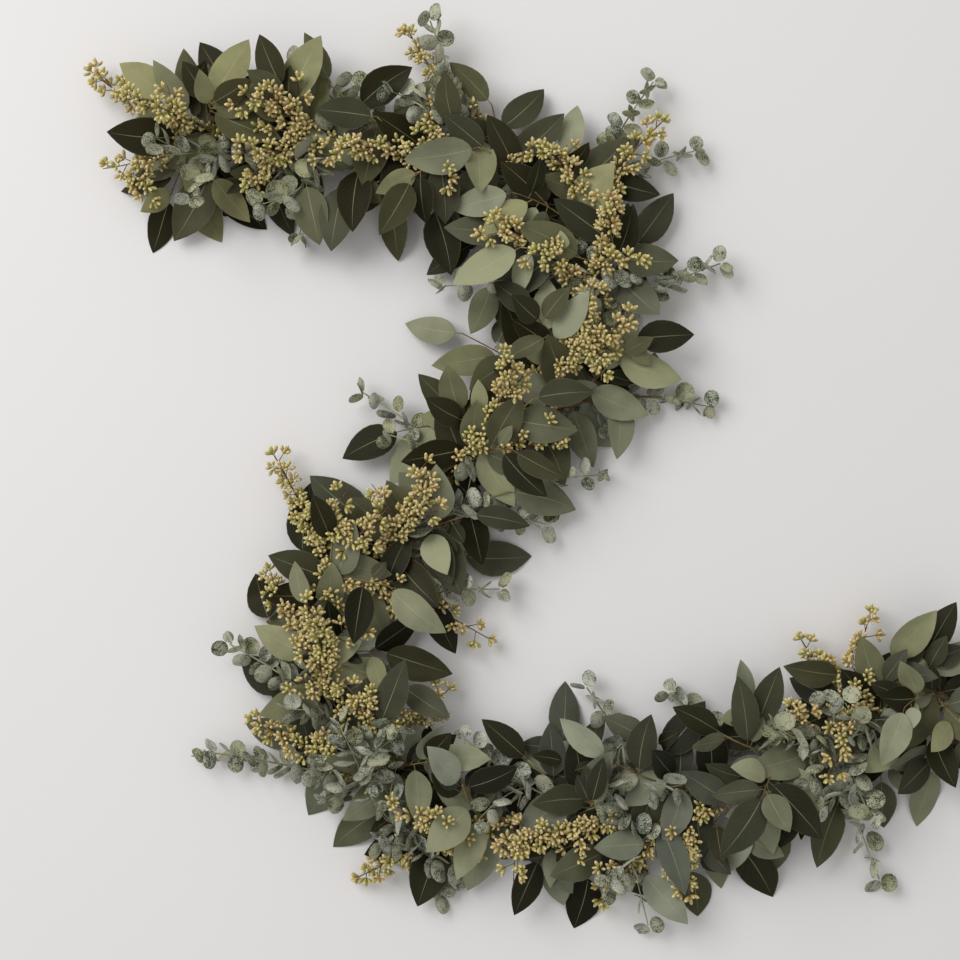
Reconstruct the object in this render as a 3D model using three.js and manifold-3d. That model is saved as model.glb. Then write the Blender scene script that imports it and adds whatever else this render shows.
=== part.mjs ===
// A eucalyptus garland of nineteen bunches tied one behind another along a jute cord.
// It lies on a flat surface in a long Z. Lengths are millimetres, +Z points away from the surface.
// The origin is on the surface, under one leaf near the middle of the cord.

import * as THREE from "three";
import { mergeVertices } from "three/addons/utils/BufferGeometryUtils.js";
import Module from "manifold-3d";

const wasm = await Module();
wasm.setup();

// Cord and binding wire.
const CORD_HEIGHT = 13;
const CORD_RADIUS = 3.5;
const CORD_SIDES = 5;
const CORD_STEPS = 3;
const WIRE_RADIUS = 0.6;
const WIRE_SIDES = 3;
const WIRE_LOOP_RADIUS = 9.8;
const WIRE_LOOP_CORNERS = 5;
const WIRE_LOOP_ADVANCE = 2.2;
const WIRE_RUN_DEPTH = 4.6;

// The cord's centre line in plan, from the left end to the right end. Each point between the
// ends is a tie.
const CORD_POINTS = [
  [-300, 340], [-200, 338], [-95, 330], [10, 317], [90, 275], [134, 197], [113, 105],
  [52, 42], [-22, -16], [-79, -107], [-107, -190], [-73, -280], [5, -332], [103, -348],
  [202, -335], [298, -308], [393, -273], [476, -240], [518, -222], [548, -210],
];
const END_TIE_PLACE = 18.6;

// Twigs. A main twig lies beside the cord inside a wire loop, then bends away to its tip.
const TWIG_SIDES = 3;
const MAIN_TWIG_RADIUS = 1.6;
const SIDE_TWIG_RADIUS = 0.85;
const MAIN_TWIG_STEPS = 3;
const SIDE_TWIG_STEPS = 2;
const SEAT_BEHIND = 8;
const SEAT_AHEAD = 6;
const SEAT_LOWEST = 15;
const SEAT_TURNS = [0, 28, -28, 56, -56, 84, -84];
const SEAT_REACHES = [4.7, 5, 5.3, 5.6];
const TWIG_LIFTS = [4, 12, -3, 20, 30];
const MAIN_LEAD = 0.45;
const SIDE_LEAD = 0.35;
const SIDE_TWIG_JOINTS = [2, 3];
const TIP_LIFT_SHARE = 0.6;
const LOWEST_TWIG = 3;

// Leaves of seeded eucalyptus.
const LEAF_LENGTHS = [58, 78];
const LEAF_WIDTHS = [0.46, 0.56];
const LEAF_SIDES = 3;
const LEAF_ROOT = -0.35;
const LEAF_NECK = 8;
const LEAF_PLACES = [0.43, 0.74, 1];
const LEAF_NECK_WIDTH = 2.2;
const LEAF_SHOULDER_WIDTH = 0.68;
const LEAF_THICKNESS = 1.3;
const LEAF_BENDS = [0, 0.14];
const LEAF_YAWS = [35, 62];
const LEAF_TIP_YAWS = [-10, 10];
const LEAF_PITCHES = [-10, 20];
const LOW_LEAF_PITCHES = [-20, -8];
const LEAF_ROLLS = [-24, 24];
const LOW_TWIG_TIP = 18;
const MAIN_LEAF_PLACES = [1, 0.78, 0.62, 0.48, 0.34, 0.2];
const SIDE_LEAF_PLACES = [1, 0.82, 0.64, 0.48, 0.32];
const LEAF_RISES = [0, 11, -11, 24];
const LEAF_TURNS = [0, 18, -18, 36, -36, 56];
const LEAF_SIZES = [1, 0.84];

// Round leaves of baby blue eucalyptus, set in opposite pairs.
const COIN_SIDES = 6;
const COIN_THICKNESS = 1.2;
const COIN_RADII = [12, 6.5];
const COIN_ROOT = 0.35;
const COIN_CENTRE_SHARE = 0.45;
const COIN_PAIR_SPACING = 58;
const COIN_FIRST_PLACE = 0.35;
const COIN_LEANS = [18, 40];
const COIN_TURN = 90;
const COIN_TURN_SPREAD = [-20, 20];
const COIN_SIZE_SPREAD = [0.9, 1.1];
const COIN_FACE_SPIN = 0.8;
const COIN_FACE_CUP = 0.6;
const COIN_TRIES = [0, 25, -25, 50, -50, 75, -75];

// Buds of seeded eucalyptus, each on its short stalk.
const BUD_SIDES = 3;
const BUD_RADIUS = 1.9;
const BUD_ROOT = 0.35;
const BUD_WAIST = 7.6;
const BUD_LENGTH = 11;
const BUD_SPACING = 22;
const BUD_FIRST_PLACE = 0.42;
const BUD_LEAN = 58;
const BUD_TIP_LEAN = 4;
const BUD_SPIRAL = 137.5;
const BUD_TRIES = [0, 35, -35, 70, -70, 120];

// The leaf that the garland rests on reaches under the origin from a low twig.
const REST_BUNCH = 6;
const REST_TWIG_TIP = [39, 10, 9];
const REST_LEAF_PITCH = -30;
const REST_LEAF_LENGTH = 66;
const REST_LEAF_WIDTH = 0.56;

// Leaves turn to where the garland is still thin, seen from above in a grid of cells.
const CELL = 9;
const COVER_REACH = 108;
const COVER_DISTANCES = [0.3, 0.45, 0.6, 0.75, 0.9];
const COVER_SIDES = [-0.32, 0, 0.32];
const TRY_WEIGHT = 0.12;
const LEAST_BARE = 9;

// Numbers of the repeatable scatter.
const CHANCE_BUNCH = 12.9898;
const CHANCE_ITEM = 78.233;
const CHANCE_DRAW = 37.719;
const CHANCE_SCALE = 43758.5453;

const GAP = 0.35;
const FLOOR = -0.01;
const MERGE_DISTANCE = 1e-4;
const MERGE_TOLERANCE = 0.05;
const TANGENT_STEP = 0.05;
const UP = new THREE.Vector3(0, 0, 1);

// Twig tips of each bunch, left end first. The first tip of a list is the main twig's.
const BUNCHES = [
  {
    leaf: [[-282, 382, 30], [-238, 378, 48], [-284, 288, 12], [-240, 292, 16], [-272, 346, 24]],
    seed: [[-362, 412, 20], [-318, 298, 24], [-270, 362, 52]],
    coin: [],
  },
  {
    leaf: [[-218, 384, 26], [-165, 388, 50], [-200, 298, 14], [-145, 300, 34]],
    seed: [[-178, 388, 60], [-202, 295, 40]],
    coin: [[-287, 322, 54]],
  },
  {
    leaf: [[-120, 396, 36], [-72, 360, 56], [-105, 298, 40], [-60, 290, 18]],
    seed: [[-105, 332, 62]],
    coin: [[-160, 418, 24], [-152, 248, 12]],
  },
  {
    leaf: [[42, 378, 26], [28, 330, 56], [-38, 298, 58], [-18, 276, 20], [5, 352, 40]],
    seed: [[-42, 452, 22], [-2, 292, 50]],
    coin: [[-20, 460, 38], [-60, 388, 44]],
  },
  {
    leaf: [[118, 322, 26], [170, 322, 18], [62, 285, 58], [25, 240, 18]],
    seed: [[212, 358, 42], [95, 332, 44]],
    coin: [[205, 402, 22], [247, 333, 16]],
  },
  {
    leaf: [[185, 235, 18], [148, 275, 60], [70, 230, 62], [42, 200, 20]],
    seed: [[162, 275, 66], [42, 260, 50]],
    coin: [[272, 218, 26], [-7, 195, 22]],
  },
  {
    leaf: [[214, 84, 18], [180, 140, 48], [12, 148, 22], [85, 165, 64], [142, 62, 12]],
    seed: [[140, 190, 68], [160, 125, 40]],
    coin: [[260, 75, 12]],
  },
  {
    leaf: [[82, 80, 58], [62, 30, 60], [-48, 50, 20], [5, 80, 40]],
    seed: [[72, 102, 62], [115, 52, 36]],
    coin: [[-88, 88, 20]],
  },
  {
    leaf: [[58, -12, 32], [20, -35, 54], [10, -78, 14], [-104, -45, 20]],
    seed: [[-18, 0, 58]],
    coin: [[150, 5, 20], [-60, 45, 36], [98, -45, 16]],
  },
  {
    leaf: [[-150, -78, 18], [-118, -62, 38], [-25, -118, 18], [-60, -105, 56]],
    seed: [[-178, 25, 20], [38, -160, 12], [-75, -65, 58]],
    coin: [[50, -110, 24]],
  },
  {
    leaf: [[-182, -145, 16], [-142, -128, 48], [-70, -172, 26], [-50, -205, 30]],
    seed: [[-182, -92, 24], [-125, -145, 60]],
    coin: [[-222, -165, 30]],
  },
  {
    leaf: [[-165, -218, 16], [-150, -268, 12], [-70, -245, 54], [-18, -278, 62]],
    seed: [[-200, -242, 20], [-78, -210, 60], [-2, -212, 16]],
    coin: [[-250, -275, 16], [-85, -275, 60]],
  },
  {
    leaf: [[-62, -330, 14], [12, -300, 62], [-25, -368, 14], [25, -362, 22]],
    seed: [[-92, -402, 12], [-18, -332, 64]],
    coin: [[-13, -422, 10], [-78, -315, 54]],
  },
  {
    leaf: [[78, -282, 26], [112, -270, 22], [90, -380, 24], [140, -322, 64]],
    seed: [[50, -362, 60]],
    coin: [[15, -258, 44]],
  },
  {
    leaf: [[158, -278, 48], [202, -262, 28], [140, -398, 14], [192, -394, 26]],
    seed: [[152, -425, 12], [240, -415, 36]],
    coin: [[138, -210, 16], [200, -450, 10]],
  },
  {
    leaf: [[270, -252, 54], [300, -232, 22], [242, -392, 14], [290, -366, 24], [310, -310, 62]],
    seed: [[340, -225, 48]],
    coin: [[222, -215, 16]],
  },
  {
    leaf: [[395, -196, 26], [440, -182, 32], [345, -352, 14], [392, -322, 26]],
    seed: [[355, -162, 20], [392, -255, 56], [425, -135, 18]],
    coin: [[320, -255, 54], [435, -405, 12]],
  },
  {
    leaf: [[478, -178, 28], [490, -290, 16], [450, -225, 60], [436, -300, 16], [520, -262, 34]],
    seed: [],
    coin: [[400, -255, 50]],
  },
  {
    leaf: [[560, -200, 25], [550, -255, 18]],
    seed: [[570, -185, 20]],
    coin: [],
  },
];

const KINDS = ["leaf", "seed", "coin"];
const COLOURS = { cord: 0xa58a5c, wire: 0x4b5a45, leaf: 0x66735f, seed: 0xa5924a, coin: 0x92a79d };

// A repeatable number from 0 to 1 for one draw of one item in one branch.
function chance(branch, item, draw) {
  const wave = Math.sin(branch * CHANCE_BUNCH + item * CHANCE_ITEM + draw * CHANCE_DRAW) * CHANCE_SCALE;
  return wave - Math.floor(wave);
}

function between(range, share) {
  return range[0] + (range[1] - range[0]) * share;
}

function vector([x, y, z]) {
  return new THREE.Vector3(x, y, z);
}

// A path whose rings sit exactly at the listed points and halve the turn at each of them.
class Route extends THREE.Curve {
  constructor(points) {
    super();
    this.points = points;
  }

  getPointAt(share) {
    return this.points[Math.round(share * (this.points.length - 1))].clone();
  }

  getTangentAt(share) {
    const index = Math.round(share * (this.points.length - 1));
    const arrive = this.runFrom(Math.max(index - 1, 0));
    const leave = this.runFrom(Math.min(index, this.points.length - 2));
    return arrive.add(leave).normalize();
  }

  runFrom(index) {
    return this.points[index + 1].clone().sub(this.points[index]).normalize();
  }
}

function solidOf(geometry) {
  const bare = new THREE.BufferGeometry();
  bare.setAttribute("position", geometry.getAttribute("position"));
  bare.setIndex(geometry.index);
  const merged = mergeVertices(bare, MERGE_DISTANCE);
  const mesh = new wasm.Mesh({
    numProp: 3,
    vertProperties: merged.getAttribute("position").array,
    triVerts: new Uint32Array(merged.index.array),
  });
  return new wasm.Manifold(mesh);
}

function rodAlong(points, radius, sides) {
  const corners = [];
  for (let side = 0; side < sides; side += 1) {
    const angle = (2 * Math.PI * side) / sides;
    corners.push(new THREE.Vector2(radius * Math.cos(angle), radius * Math.sin(angle)));
  }
  const section = new THREE.Shape(corners);
  return solidOf(
    new THREE.ExtrudeGeometry(section, { steps: points.length - 1, extrudePath: new Route(points) }),
  );
}

// Moves every point of a ball by one rule, which turns the ball into a leaf, a coin or a bud.
function mouldBall(columns, rows, rule) {
  const ball = new THREE.SphereGeometry(1, columns, rows);
  const position = ball.getAttribute("position");
  const point = new THREE.Vector3();
  for (let index = 0; index < position.count; index += 1) {
    point.fromBufferAttribute(position, index);
    const moved = rule(point);
    position.setXYZ(index, moved.x, moved.y, moved.z);
  }
  return solidOf(ball);
}

const cordCurve = new THREE.CatmullRomCurve3(
  CORD_POINTS.map(([x, y]) => new THREE.Vector3(x, y, CORD_HEIGHT)), false, "catmullrom", 0.5,
);

function cordAt(place) {
  return cordCurve.getPoint(place / (CORD_POINTS.length - 1));
}

const cordSamples = Array.from({ length: CORD_POINTS.length * CORD_STEPS }, (_, index) => (
  cordAt(Math.min(index / CORD_STEPS, CORD_POINTS.length - 1))
));

// The centre of a tie with the direction its bunch grows in and the direction across it.
function tieAt(place, reversed) {
  const along = cordAt(place - TANGENT_STEP).sub(cordAt(place + TANGENT_STEP)).normalize();
  if (reversed) {
    along.negate();
  }
  return { centre: cordAt(place), along, across: UP.clone().cross(along) };
}

function cordSolid() {
  const points = [];
  const last = (CORD_POINTS.length - 1) * CORD_STEPS;
  for (let step = 0; step <= last; step += 1) {
    points.push(cordAt(step / CORD_STEPS));
  }
  return rodAlong(points, CORD_RADIUS, CORD_SIDES);
}

// One turn of wire round the cord and the twigs beside it.
function wireLoop(place) {
  const { centre, along, across } = tieAt(place, true);
  const points = [];
  for (let corner = 0; corner <= WIRE_LOOP_CORNERS; corner += 1) {
    const angle = (2 * Math.PI * corner) / WIRE_LOOP_CORNERS - Math.PI / 2;
    const advance = WIRE_LOOP_ADVANCE * (corner / WIRE_LOOP_CORNERS - 0.5);
    points.push(
      centre.clone()
        .addScaledVector(along, advance)
        .addScaledVector(across, WIRE_LOOP_RADIUS * Math.cos(angle))
        .addScaledVector(UP, WIRE_LOOP_RADIUS * Math.sin(angle)),
    );
  }
  return points;
}

function wireSolid(tiePlaces) {
  const points = [];
  tiePlaces.forEach((place, index) => {
    points.push(...wireLoop(place));
    if (index + 1 < tiePlaces.length) {
      const middle = cordAt((place + tiePlaces[index + 1]) / 2);
      points.push(middle.addScaledVector(UP, -WIRE_RUN_DEPTH));
    }
  });
  return rodAlong(points, WIRE_RADIUS, WIRE_SIDES);
}

// Everything that has its place already. A new piece keeps clear of the pieces of other
// branches, and of the leaves of its own branch.
const placed = [];

function boxOf(solid) {
  const { min, max } = solid.boundingBox();
  return new THREE.Box3(vector(min), vector(max)).expandByScalar(GAP / 2);
}

function isClear(solid, box, branch, pair) {
  return placed.every((other) => {
    if (other.branch === branch && (other.isTwig || other.pair === pair)) {
      return true;
    }
    return !box.intersectsBox(other.box) || solid.minGap(other.solid, GAP) >= GAP;
  });
}

function keep(solid, box, branch, pair, isTwig) {
  placed.push({ solid, box, branch, pair, isTwig });
}

// Takes the first of several solids that is clear of everything placed before it.
function placeFirst(tries, branch, pair, isTwig) {
  for (const attempt of tries) {
    const solid = attempt.make();
    const box = boxOf(solid);
    if (box.min.z > FLOOR - GAP / 2 && isClear(solid, box, branch, pair)) {
      keep(solid, box, branch, pair, isTwig);
      return attempt;
    }
    solid.delete();
  }
  return null;
}

function curvePoints(start, control, tip, steps) {
  control.z = Math.max(control.z, LOWEST_TWIG);
  return new THREE.QuadraticBezierCurve3(start, control, tip).getPoints(steps);
}

function raisedTip(tip, lift) {
  const raised = vector(tip);
  raised.z = Math.max(raised.z + (lift - TWIG_LIFTS[0]) * TIP_LIFT_SHARE, LOWEST_TWIG);
  return raised;
}

function mainTwigPoints(tie, tip, seatTurn, reach, lift) {
  const target = raisedTip(tip, lift);
  const offset = target.clone().sub(tie.centre);
  const lowest = THREE.MathUtils.degToRad(SEAT_LOWEST);
  const aim = Math.atan2(Math.max(offset.z, 0), offset.dot(tie.across));
  const angle = THREE.MathUtils.clamp(aim, lowest, Math.PI - lowest) + THREE.MathUtils.degToRad(seatTurn);
  const seat = tie.centre.clone()
    .addScaledVector(tie.across, reach * Math.cos(angle))
    .addScaledVector(UP, reach * Math.sin(angle));
  const behind = seat.clone().addScaledVector(tie.along, -SEAT_BEHIND);
  const ahead = seat.clone().addScaledVector(tie.along, SEAT_AHEAD);
  const control = ahead.clone()
    .addScaledVector(tie.along, MAIN_LEAD * ahead.distanceTo(target))
    .addScaledVector(UP, lift);
  return [behind, ...curvePoints(ahead, control, target, MAIN_TWIG_STEPS)];
}

function mainTwigTries(tie, tip) {
  const tries = [];
  for (const lift of TWIG_LIFTS) {
    for (const seatTurn of SEAT_TURNS) {
      for (const reach of SEAT_REACHES) {
        const points = mainTwigPoints(tie, tip, seatTurn, reach, lift);
        tries.push({ points, make: () => rodAlong(points, MAIN_TWIG_RADIUS, TWIG_SIDES) });
      }
    }
  }
  return tries;
}

function sideTwigPoints(main, joint, tip, lift) {
  const start = main[joint];
  const target = raisedTip(tip, lift);
  const heading = main[joint + 1].clone().sub(main[joint - 1]).normalize();
  const control = start.clone()
    .addScaledVector(heading, SIDE_LEAD * start.distanceTo(target))
    .addScaledVector(UP, lift);
  return curvePoints(start, control, target, SIDE_TWIG_STEPS);
}

function sideTwigTries(main, tip) {
  const tries = [];
  for (const lift of TWIG_LIFTS) {
    for (const joint of SIDE_TWIG_JOINTS) {
      const points = sideTwigPoints(main, joint, tip, lift);
      tries.push({ points, make: () => rodAlong(points, SIDE_TWIG_RADIUS, TWIG_SIDES) });
    }
  }
  return tries;
}

// The point and heading at a share of a twig's length.
function twigAt(points, share) {
  const scaled = share * (points.length - 1);
  const index = Math.min(Math.floor(scaled), points.length - 2);
  const heading = points[index + 1].clone().sub(points[index]);
  const point = points[index].clone().addScaledVector(heading, scaled - index);
  return { point, heading: heading.normalize() };
}

// The three directions of a leaf: along it, across it and away from its face.
function leafAxes(bearing, pitch, roll) {
  const flat = new THREE.Vector3(Math.cos(bearing), Math.sin(bearing), 0);
  const along = flat.clone().multiplyScalar(Math.cos(pitch)).addScaledVector(UP, Math.sin(pitch));
  const level = UP.clone().cross(flat);
  const square = along.clone().cross(level);
  const face = square.multiplyScalar(Math.cos(roll)).addScaledVector(level, Math.sin(roll));
  return { along, face, across: face.clone().cross(along) };
}

function leafStations(length, width) {
  const halves = [0, LEAF_NECK_WIDTH / 2, width / 2, (width * LEAF_SHOULDER_WIDTH) / 2, 0];
  const distances = [LEAF_ROOT, LEAF_NECK, ...LEAF_PLACES.map((place) => place * length)];
  return distances.map((distance, index) => ({ distance, half: halves[index] }));
}

// The middle of the leaf's underside at each station, kept above the surface.
function leafSpine(leaf) {
  const { along, face, across } = leaf.axes;
  return leafStations(leaf.length, leaf.width).map(({ distance, half }) => {
    const droop = leaf.bend * leaf.length * (distance / leaf.length) ** 2;
    const point = leaf.root.clone().addScaledVector(along, distance).addScaledVector(face, -droop);
    point.z = Math.max(point.z, half * Math.abs(across.z));
    return { point, half };
  });
}

// A leaf with a flat underside and a low ridge along its midrib.
function leafSolid(leaf) {
  const spine = leafSpine(leaf);
  const { face, across } = leaf.axes;
  const rows = spine.length - 1;
  return mouldBall(LEAF_SIDES, rows, (corner) => {
    const { point, half } = spine[Math.round((Math.acos(corner.y) / Math.PI) * rows)];
    const side = Math.round(corner.z);
    const isRidge = side === 0 && half > 0;
    return point.clone()
      .addScaledVector(across, side * half)
      .addScaledVector(face, isRidge ? LEAF_THICKNESS : 0);
  });
}

function drawLeaf(branch, item, twig, share) {
  const { point, heading } = twigAt(twig.points, share);
  const isTip = share === 1;
  const low = twig.points[twig.points.length - 1].z < LOW_TWIG_TIP;
  const side = item % 2 === 0 ? 1 : -1;
  const yaw = between(isTip ? LEAF_TIP_YAWS : LEAF_YAWS, chance(branch, item, 1)) * (isTip ? 1 : side);
  const length = between(LEAF_LENGTHS, chance(branch, item, 2));
  return {
    root: point,
    bearing: Math.atan2(heading.y, heading.x) + THREE.MathUtils.degToRad(yaw),
    side,
    pitch: between(low ? LOW_LEAF_PITCHES : LEAF_PITCHES, chance(branch, item, 3)),
    roll: THREE.MathUtils.degToRad(between(LEAF_ROLLS, chance(branch, item, 4))) * (low ? 0 : 1),
    length,
    width: length * between(LEAF_WIDTHS, chance(branch, item, 5)),
    bend: between(LEAF_BENDS, chance(branch, item, 6)),
  };
}

function triedLeaf(drawn, rise, turn, size) {
  const bearing = drawn.bearing + THREE.MathUtils.degToRad(turn) * drawn.side;
  const pitch = THREE.MathUtils.degToRad(drawn.pitch + rise);
  return {
    ...drawn,
    axes: leafAxes(bearing, pitch, drawn.roll),
    length: drawn.length * size,
    width: drawn.width * size,
  };
}

const covered = new Set();

// The cells of the plan that a leaf hides, left out where they are far from the cord.
function cellsUnder(leaf) {
  const cells = [];
  for (const distance of COVER_DISTANCES) {
    for (const side of COVER_SIDES) {
      const point = leaf.root.clone()
        .addScaledVector(leaf.axes.along, leaf.length * distance)
        .addScaledVector(leaf.axes.across, leaf.width * side);
      if (cordSamples.some((sample) => Math.hypot(sample.x - point.x, sample.y - point.y) < COVER_REACH)) {
        cells.push(`${Math.round(point.x / CELL)},${Math.round(point.y / CELL)}`);
      }
    }
  }
  return cells;
}

// Every way a leaf may be turned, the ones that hide most bare cells first.
function leafTries(drawn) {
  const tries = [];
  for (const size of LEAF_SIZES) {
    for (const rise of LEAF_RISES) {
      for (const turn of LEAF_TURNS) {
        const leaf = triedLeaf(drawn, rise, turn, size);
        const cells = cellsUnder(leaf);
        const bare = cells.filter((cell) => !covered.has(cell)).length;
        const worth = bare - TRY_WEIGHT * tries.length;
        tries.push({ bare, worth, cells, make: () => leafSolid(leaf) });
      }
    }
  }
  const useful = tries.filter((attempt) => attempt.bare >= LEAST_BARE);
  return useful.sort((first, second) => second.worth - first.worth);
}

function growLeaves(branch) {
  let item = 0;
  for (const twig of branch.twigs) {
    for (const share of twig.isMain ? MAIN_LEAF_PLACES : SIDE_LEAF_PLACES) {
      const drawn = drawLeaf(branch.number, item, twig, share);
      const taken = placeFirst(leafTries(drawn), branch.number, `leaf${item}`, false);
      if (taken !== null) {
        taken.cells.forEach((cell) => covered.add(cell));
      }
      item += 1;
    }
  }
}

// A low twig whose one leaf lies level under the origin and carries the resting face.
function growRestLeaf(branch) {
  const taken = placeFirst(sideTwigTries(branch.stem, REST_TWIG_TIP), branch.number, "twig", true);
  const root = taken.points[taken.points.length - 1];
  const axes = leafAxes(Math.atan2(-root.y, -root.x), THREE.MathUtils.degToRad(REST_LEAF_PITCH), 0);
  const width = REST_LEAF_LENGTH * REST_LEAF_WIDTH;
  const leaf = { root, axes, length: REST_LEAF_LENGTH, width, bend: 0 };
  placeFirst([{ make: () => leafSolid(leaf) }], branch.number, "rest", false);
}

function coinSolid(root, outward, face, radius) {
  const third = outward.clone().cross(face);
  const centre = root.clone().addScaledVector(outward, radius - COIN_ROOT);
  return mouldBall(COIN_SIDES, 2, (corner) => {
    const pole = Math.sign(Math.round(corner.y));
    const shift = pole === 0 ? corner.x : -COIN_CENTRE_SHARE;
    return centre.clone()
      .addScaledVector(outward, radius * shift)
      .addScaledVector(third, pole === 0 ? radius * corner.z : 0)
      .addScaledVector(face, (pole * COIN_THICKNESS) / 2);
  });
}

// One of a pair of coins: it leans forward from the twig and is turned about it.
function coinTries(twigPlace, roll, lean, radius) {
  const { point, heading } = twigPlace;
  const level = UP.clone().cross(heading).normalize();
  return COIN_TRIES.map((extra) => {
    const sideways = level.clone().applyAxisAngle(heading, THREE.MathUtils.degToRad(roll + extra));
    const outward = sideways.clone().multiplyScalar(Math.cos(lean))
      .addScaledVector(heading, Math.sin(lean));
    const cup = heading.clone().multiplyScalar(Math.cos(lean)).addScaledVector(sideways, -Math.sin(lean));
    const spin = sideways.clone().cross(heading);
    const face = spin.multiplyScalar(COIN_FACE_SPIN).addScaledVector(cup, COIN_FACE_CUP).normalize();
    return { make: () => coinSolid(point, outward, face, radius) };
  });
}

function growCoins(branch) {
  let item = 0;
  for (const twig of branch.twigs) {
    const span = twigLength(twig.points) * (1 - COIN_FIRST_PLACE);
    const pairs = Math.max(Math.round(span / COIN_PAIR_SPACING), 1);
    for (let pair = 0; pair <= pairs; pair += 1) {
      const share = pair / pairs;
      const twigPlace = twigAt(twig.points, between([COIN_FIRST_PLACE, 1], share));
      const turn = pair * COIN_TURN + between(COIN_TURN_SPREAD, chance(branch.number, item, 1));
      for (const half of pair < pairs ? [0, 180] : [0]) {
        const lean = THREE.MathUtils.degToRad(between(COIN_LEANS, chance(branch.number, item, 2)));
        const size = between(COIN_SIZE_SPREAD, chance(branch.number, item, 3));
        const radius = between(COIN_RADII, share) * size;
        const tries = coinTries(twigPlace, turn + half, lean, radius);
        placeFirst(tries, branch.number, `pair${pair}`, false);
        item += 1;
      }
    }
  }
}

function twigLength(points) {
  return points.slice(1).reduce((sum, point, index) => sum + point.distanceTo(points[index]), 0);
}

function budSolid(root, outward, across) {
  const third = outward.clone().cross(across);
  return mouldBall(BUD_SIDES, 2, (corner) => {
    const reach = [-BUD_ROOT, BUD_WAIST, BUD_LENGTH][Math.round(1 - corner.y)];
    return root.clone()
      .addScaledVector(outward, reach)
      .addScaledVector(across, BUD_RADIUS * corner.x)
      .addScaledVector(third, BUD_RADIUS * corner.z);
  });
}

function budTries(twigPlace, turn, lean) {
  const { point, heading } = twigPlace;
  const level = UP.clone().cross(heading).normalize();
  return BUD_TRIES.map((extra) => {
    const sideways = level.clone().applyAxisAngle(heading, THREE.MathUtils.degToRad(turn + extra));
    const outward = heading.clone().multiplyScalar(Math.cos(lean))
      .addScaledVector(sideways, Math.sin(lean));
    const across = outward.clone().cross(heading).normalize();
    return { make: () => budSolid(point, outward, across) };
  });
}

function growBuds(branch) {
  let item = 0;
  for (const twig of branch.twigs) {
    const span = twigLength(twig.points) * (1 - BUD_FIRST_PLACE);
    const count = Math.round(span / BUD_SPACING);
    for (let bud = 0; bud <= count; bud += 1) {
      const twigPlace = twigAt(twig.points, between([BUD_FIRST_PLACE, 1], bud / count));
      const lean = THREE.MathUtils.degToRad(bud === count ? BUD_TIP_LEAN : BUD_LEAN);
      const tries = budTries(twigPlace, bud * BUD_SPIRAL, lean);
      placeFirst(tries, branch.number, `bud${item}`, false);
      item += 1;
    }
  }
}

function makeBranches(ties) {
  const branches = [];
  BUNCHES.forEach((bunch, index) => {
    KINDS.forEach((kind, kindIndex) => {
      if (bunch[kind].length > 0) {
        const number = index * KINDS.length + kindIndex + 1;
        branches.push({ kind, number, index, tie: ties[index], tips: bunch[kind], twigs: [] });
      }
    });
  });
  return branches;
}

function growMainTwig(branch) {
  const taken = placeFirst(mainTwigTries(branch.tie, branch.tips[0]), branch.number, "twig", true);
  if (taken === null) {
    throw new Error(`no room for the main twig of branch ${branch.number}`);
  }
  branch.twigs.push({ points: taken.points.slice(1), isMain: true });
  branch.stem = taken.points;
}

function growSideTwigs(branch) {
  for (const tip of branch.tips.slice(1)) {
    const taken = placeFirst(sideTwigTries(branch.stem, tip), branch.number, "twig", true);
    if (taken !== null) {
      branch.twigs.push({ points: taken.points, isMain: false });
    }
  }
}

function meshOf(name, solid, kind) {
  const { vertProperties, triVerts } = solid.getMesh();
  const geometry = new THREE.BufferGeometry();
  geometry.setAttribute("position", new THREE.BufferAttribute(vertProperties, 3));
  geometry.setIndex(new THREE.BufferAttribute(triVerts, 1));
  const mesh = new THREE.Mesh(geometry, new THREE.MeshStandardMaterial({ color: COLOURS[kind] }));
  mesh.name = name;
  return mesh;
}

function branchSolid(branch) {
  const pieces = placed.filter((piece) => piece.branch === branch.number);
  return wasm.Manifold.union(pieces.map((piece) => piece.solid)).simplify(MERGE_TOLERANCE);
}

const tiePlaces = BUNCHES.map((_, index) => (index < BUNCHES.length - 1 ? index + 1 : END_TIE_PLACE));
const ties = tiePlaces.map((place, index) => tieAt(place, index === BUNCHES.length - 1));
const cord = cordSolid();
const wire = wireSolid(tiePlaces);
keep(cord, boxOf(cord), "cord", "cord", true);
keep(wire, boxOf(wire), "wire", "wire", true);

const branches = makeBranches(ties);
branches.forEach(growMainTwig);
growRestLeaf(branches.find((branch) => branch.kind === "leaf" && branch.index === REST_BUNCH));
branches.forEach(growSideTwigs);
branches.filter((branch) => branch.kind === "leaf").forEach(growLeaves);
branches.filter((branch) => branch.kind === "coin").forEach(growCoins);
branches.filter((branch) => branch.kind === "seed").forEach(growBuds);

const garland = new THREE.Group();
garland.name = "eucalyptus_garland";
garland.add(meshOf("cord", cord, "cord"));
garland.add(meshOf("wire", wire, "wire"));
for (const branch of branches) {
  const name = `${branch.kind}_branch_${String(branch.index + 1).padStart(2, "0")}`;
  garland.add(meshOf(name, branchSolid(branch), branch.kind));
}

export default garland;
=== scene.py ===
# %% [markdown]
# # A eucalyptus garland in the shape of a long Z
# Nineteen small bunches are tied one behind another along a jute cord. Each bunch holds up to
# three branches: seeded eucalyptus with pointed leaves, the same plant's sprays of ochre buds,
# and baby blue eucalyptus with round leaves in pairs.
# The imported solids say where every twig, leaf and bud is. This lesson gives them their looks.

import itertools
import math
import random
from types import SimpleNamespace

import bmesh
import bpy
import numpy
from mathutils import Matrix, Vector
from mathutils.bvhtree import BVHTree
from mathutils.kdtree import KDTree


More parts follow.
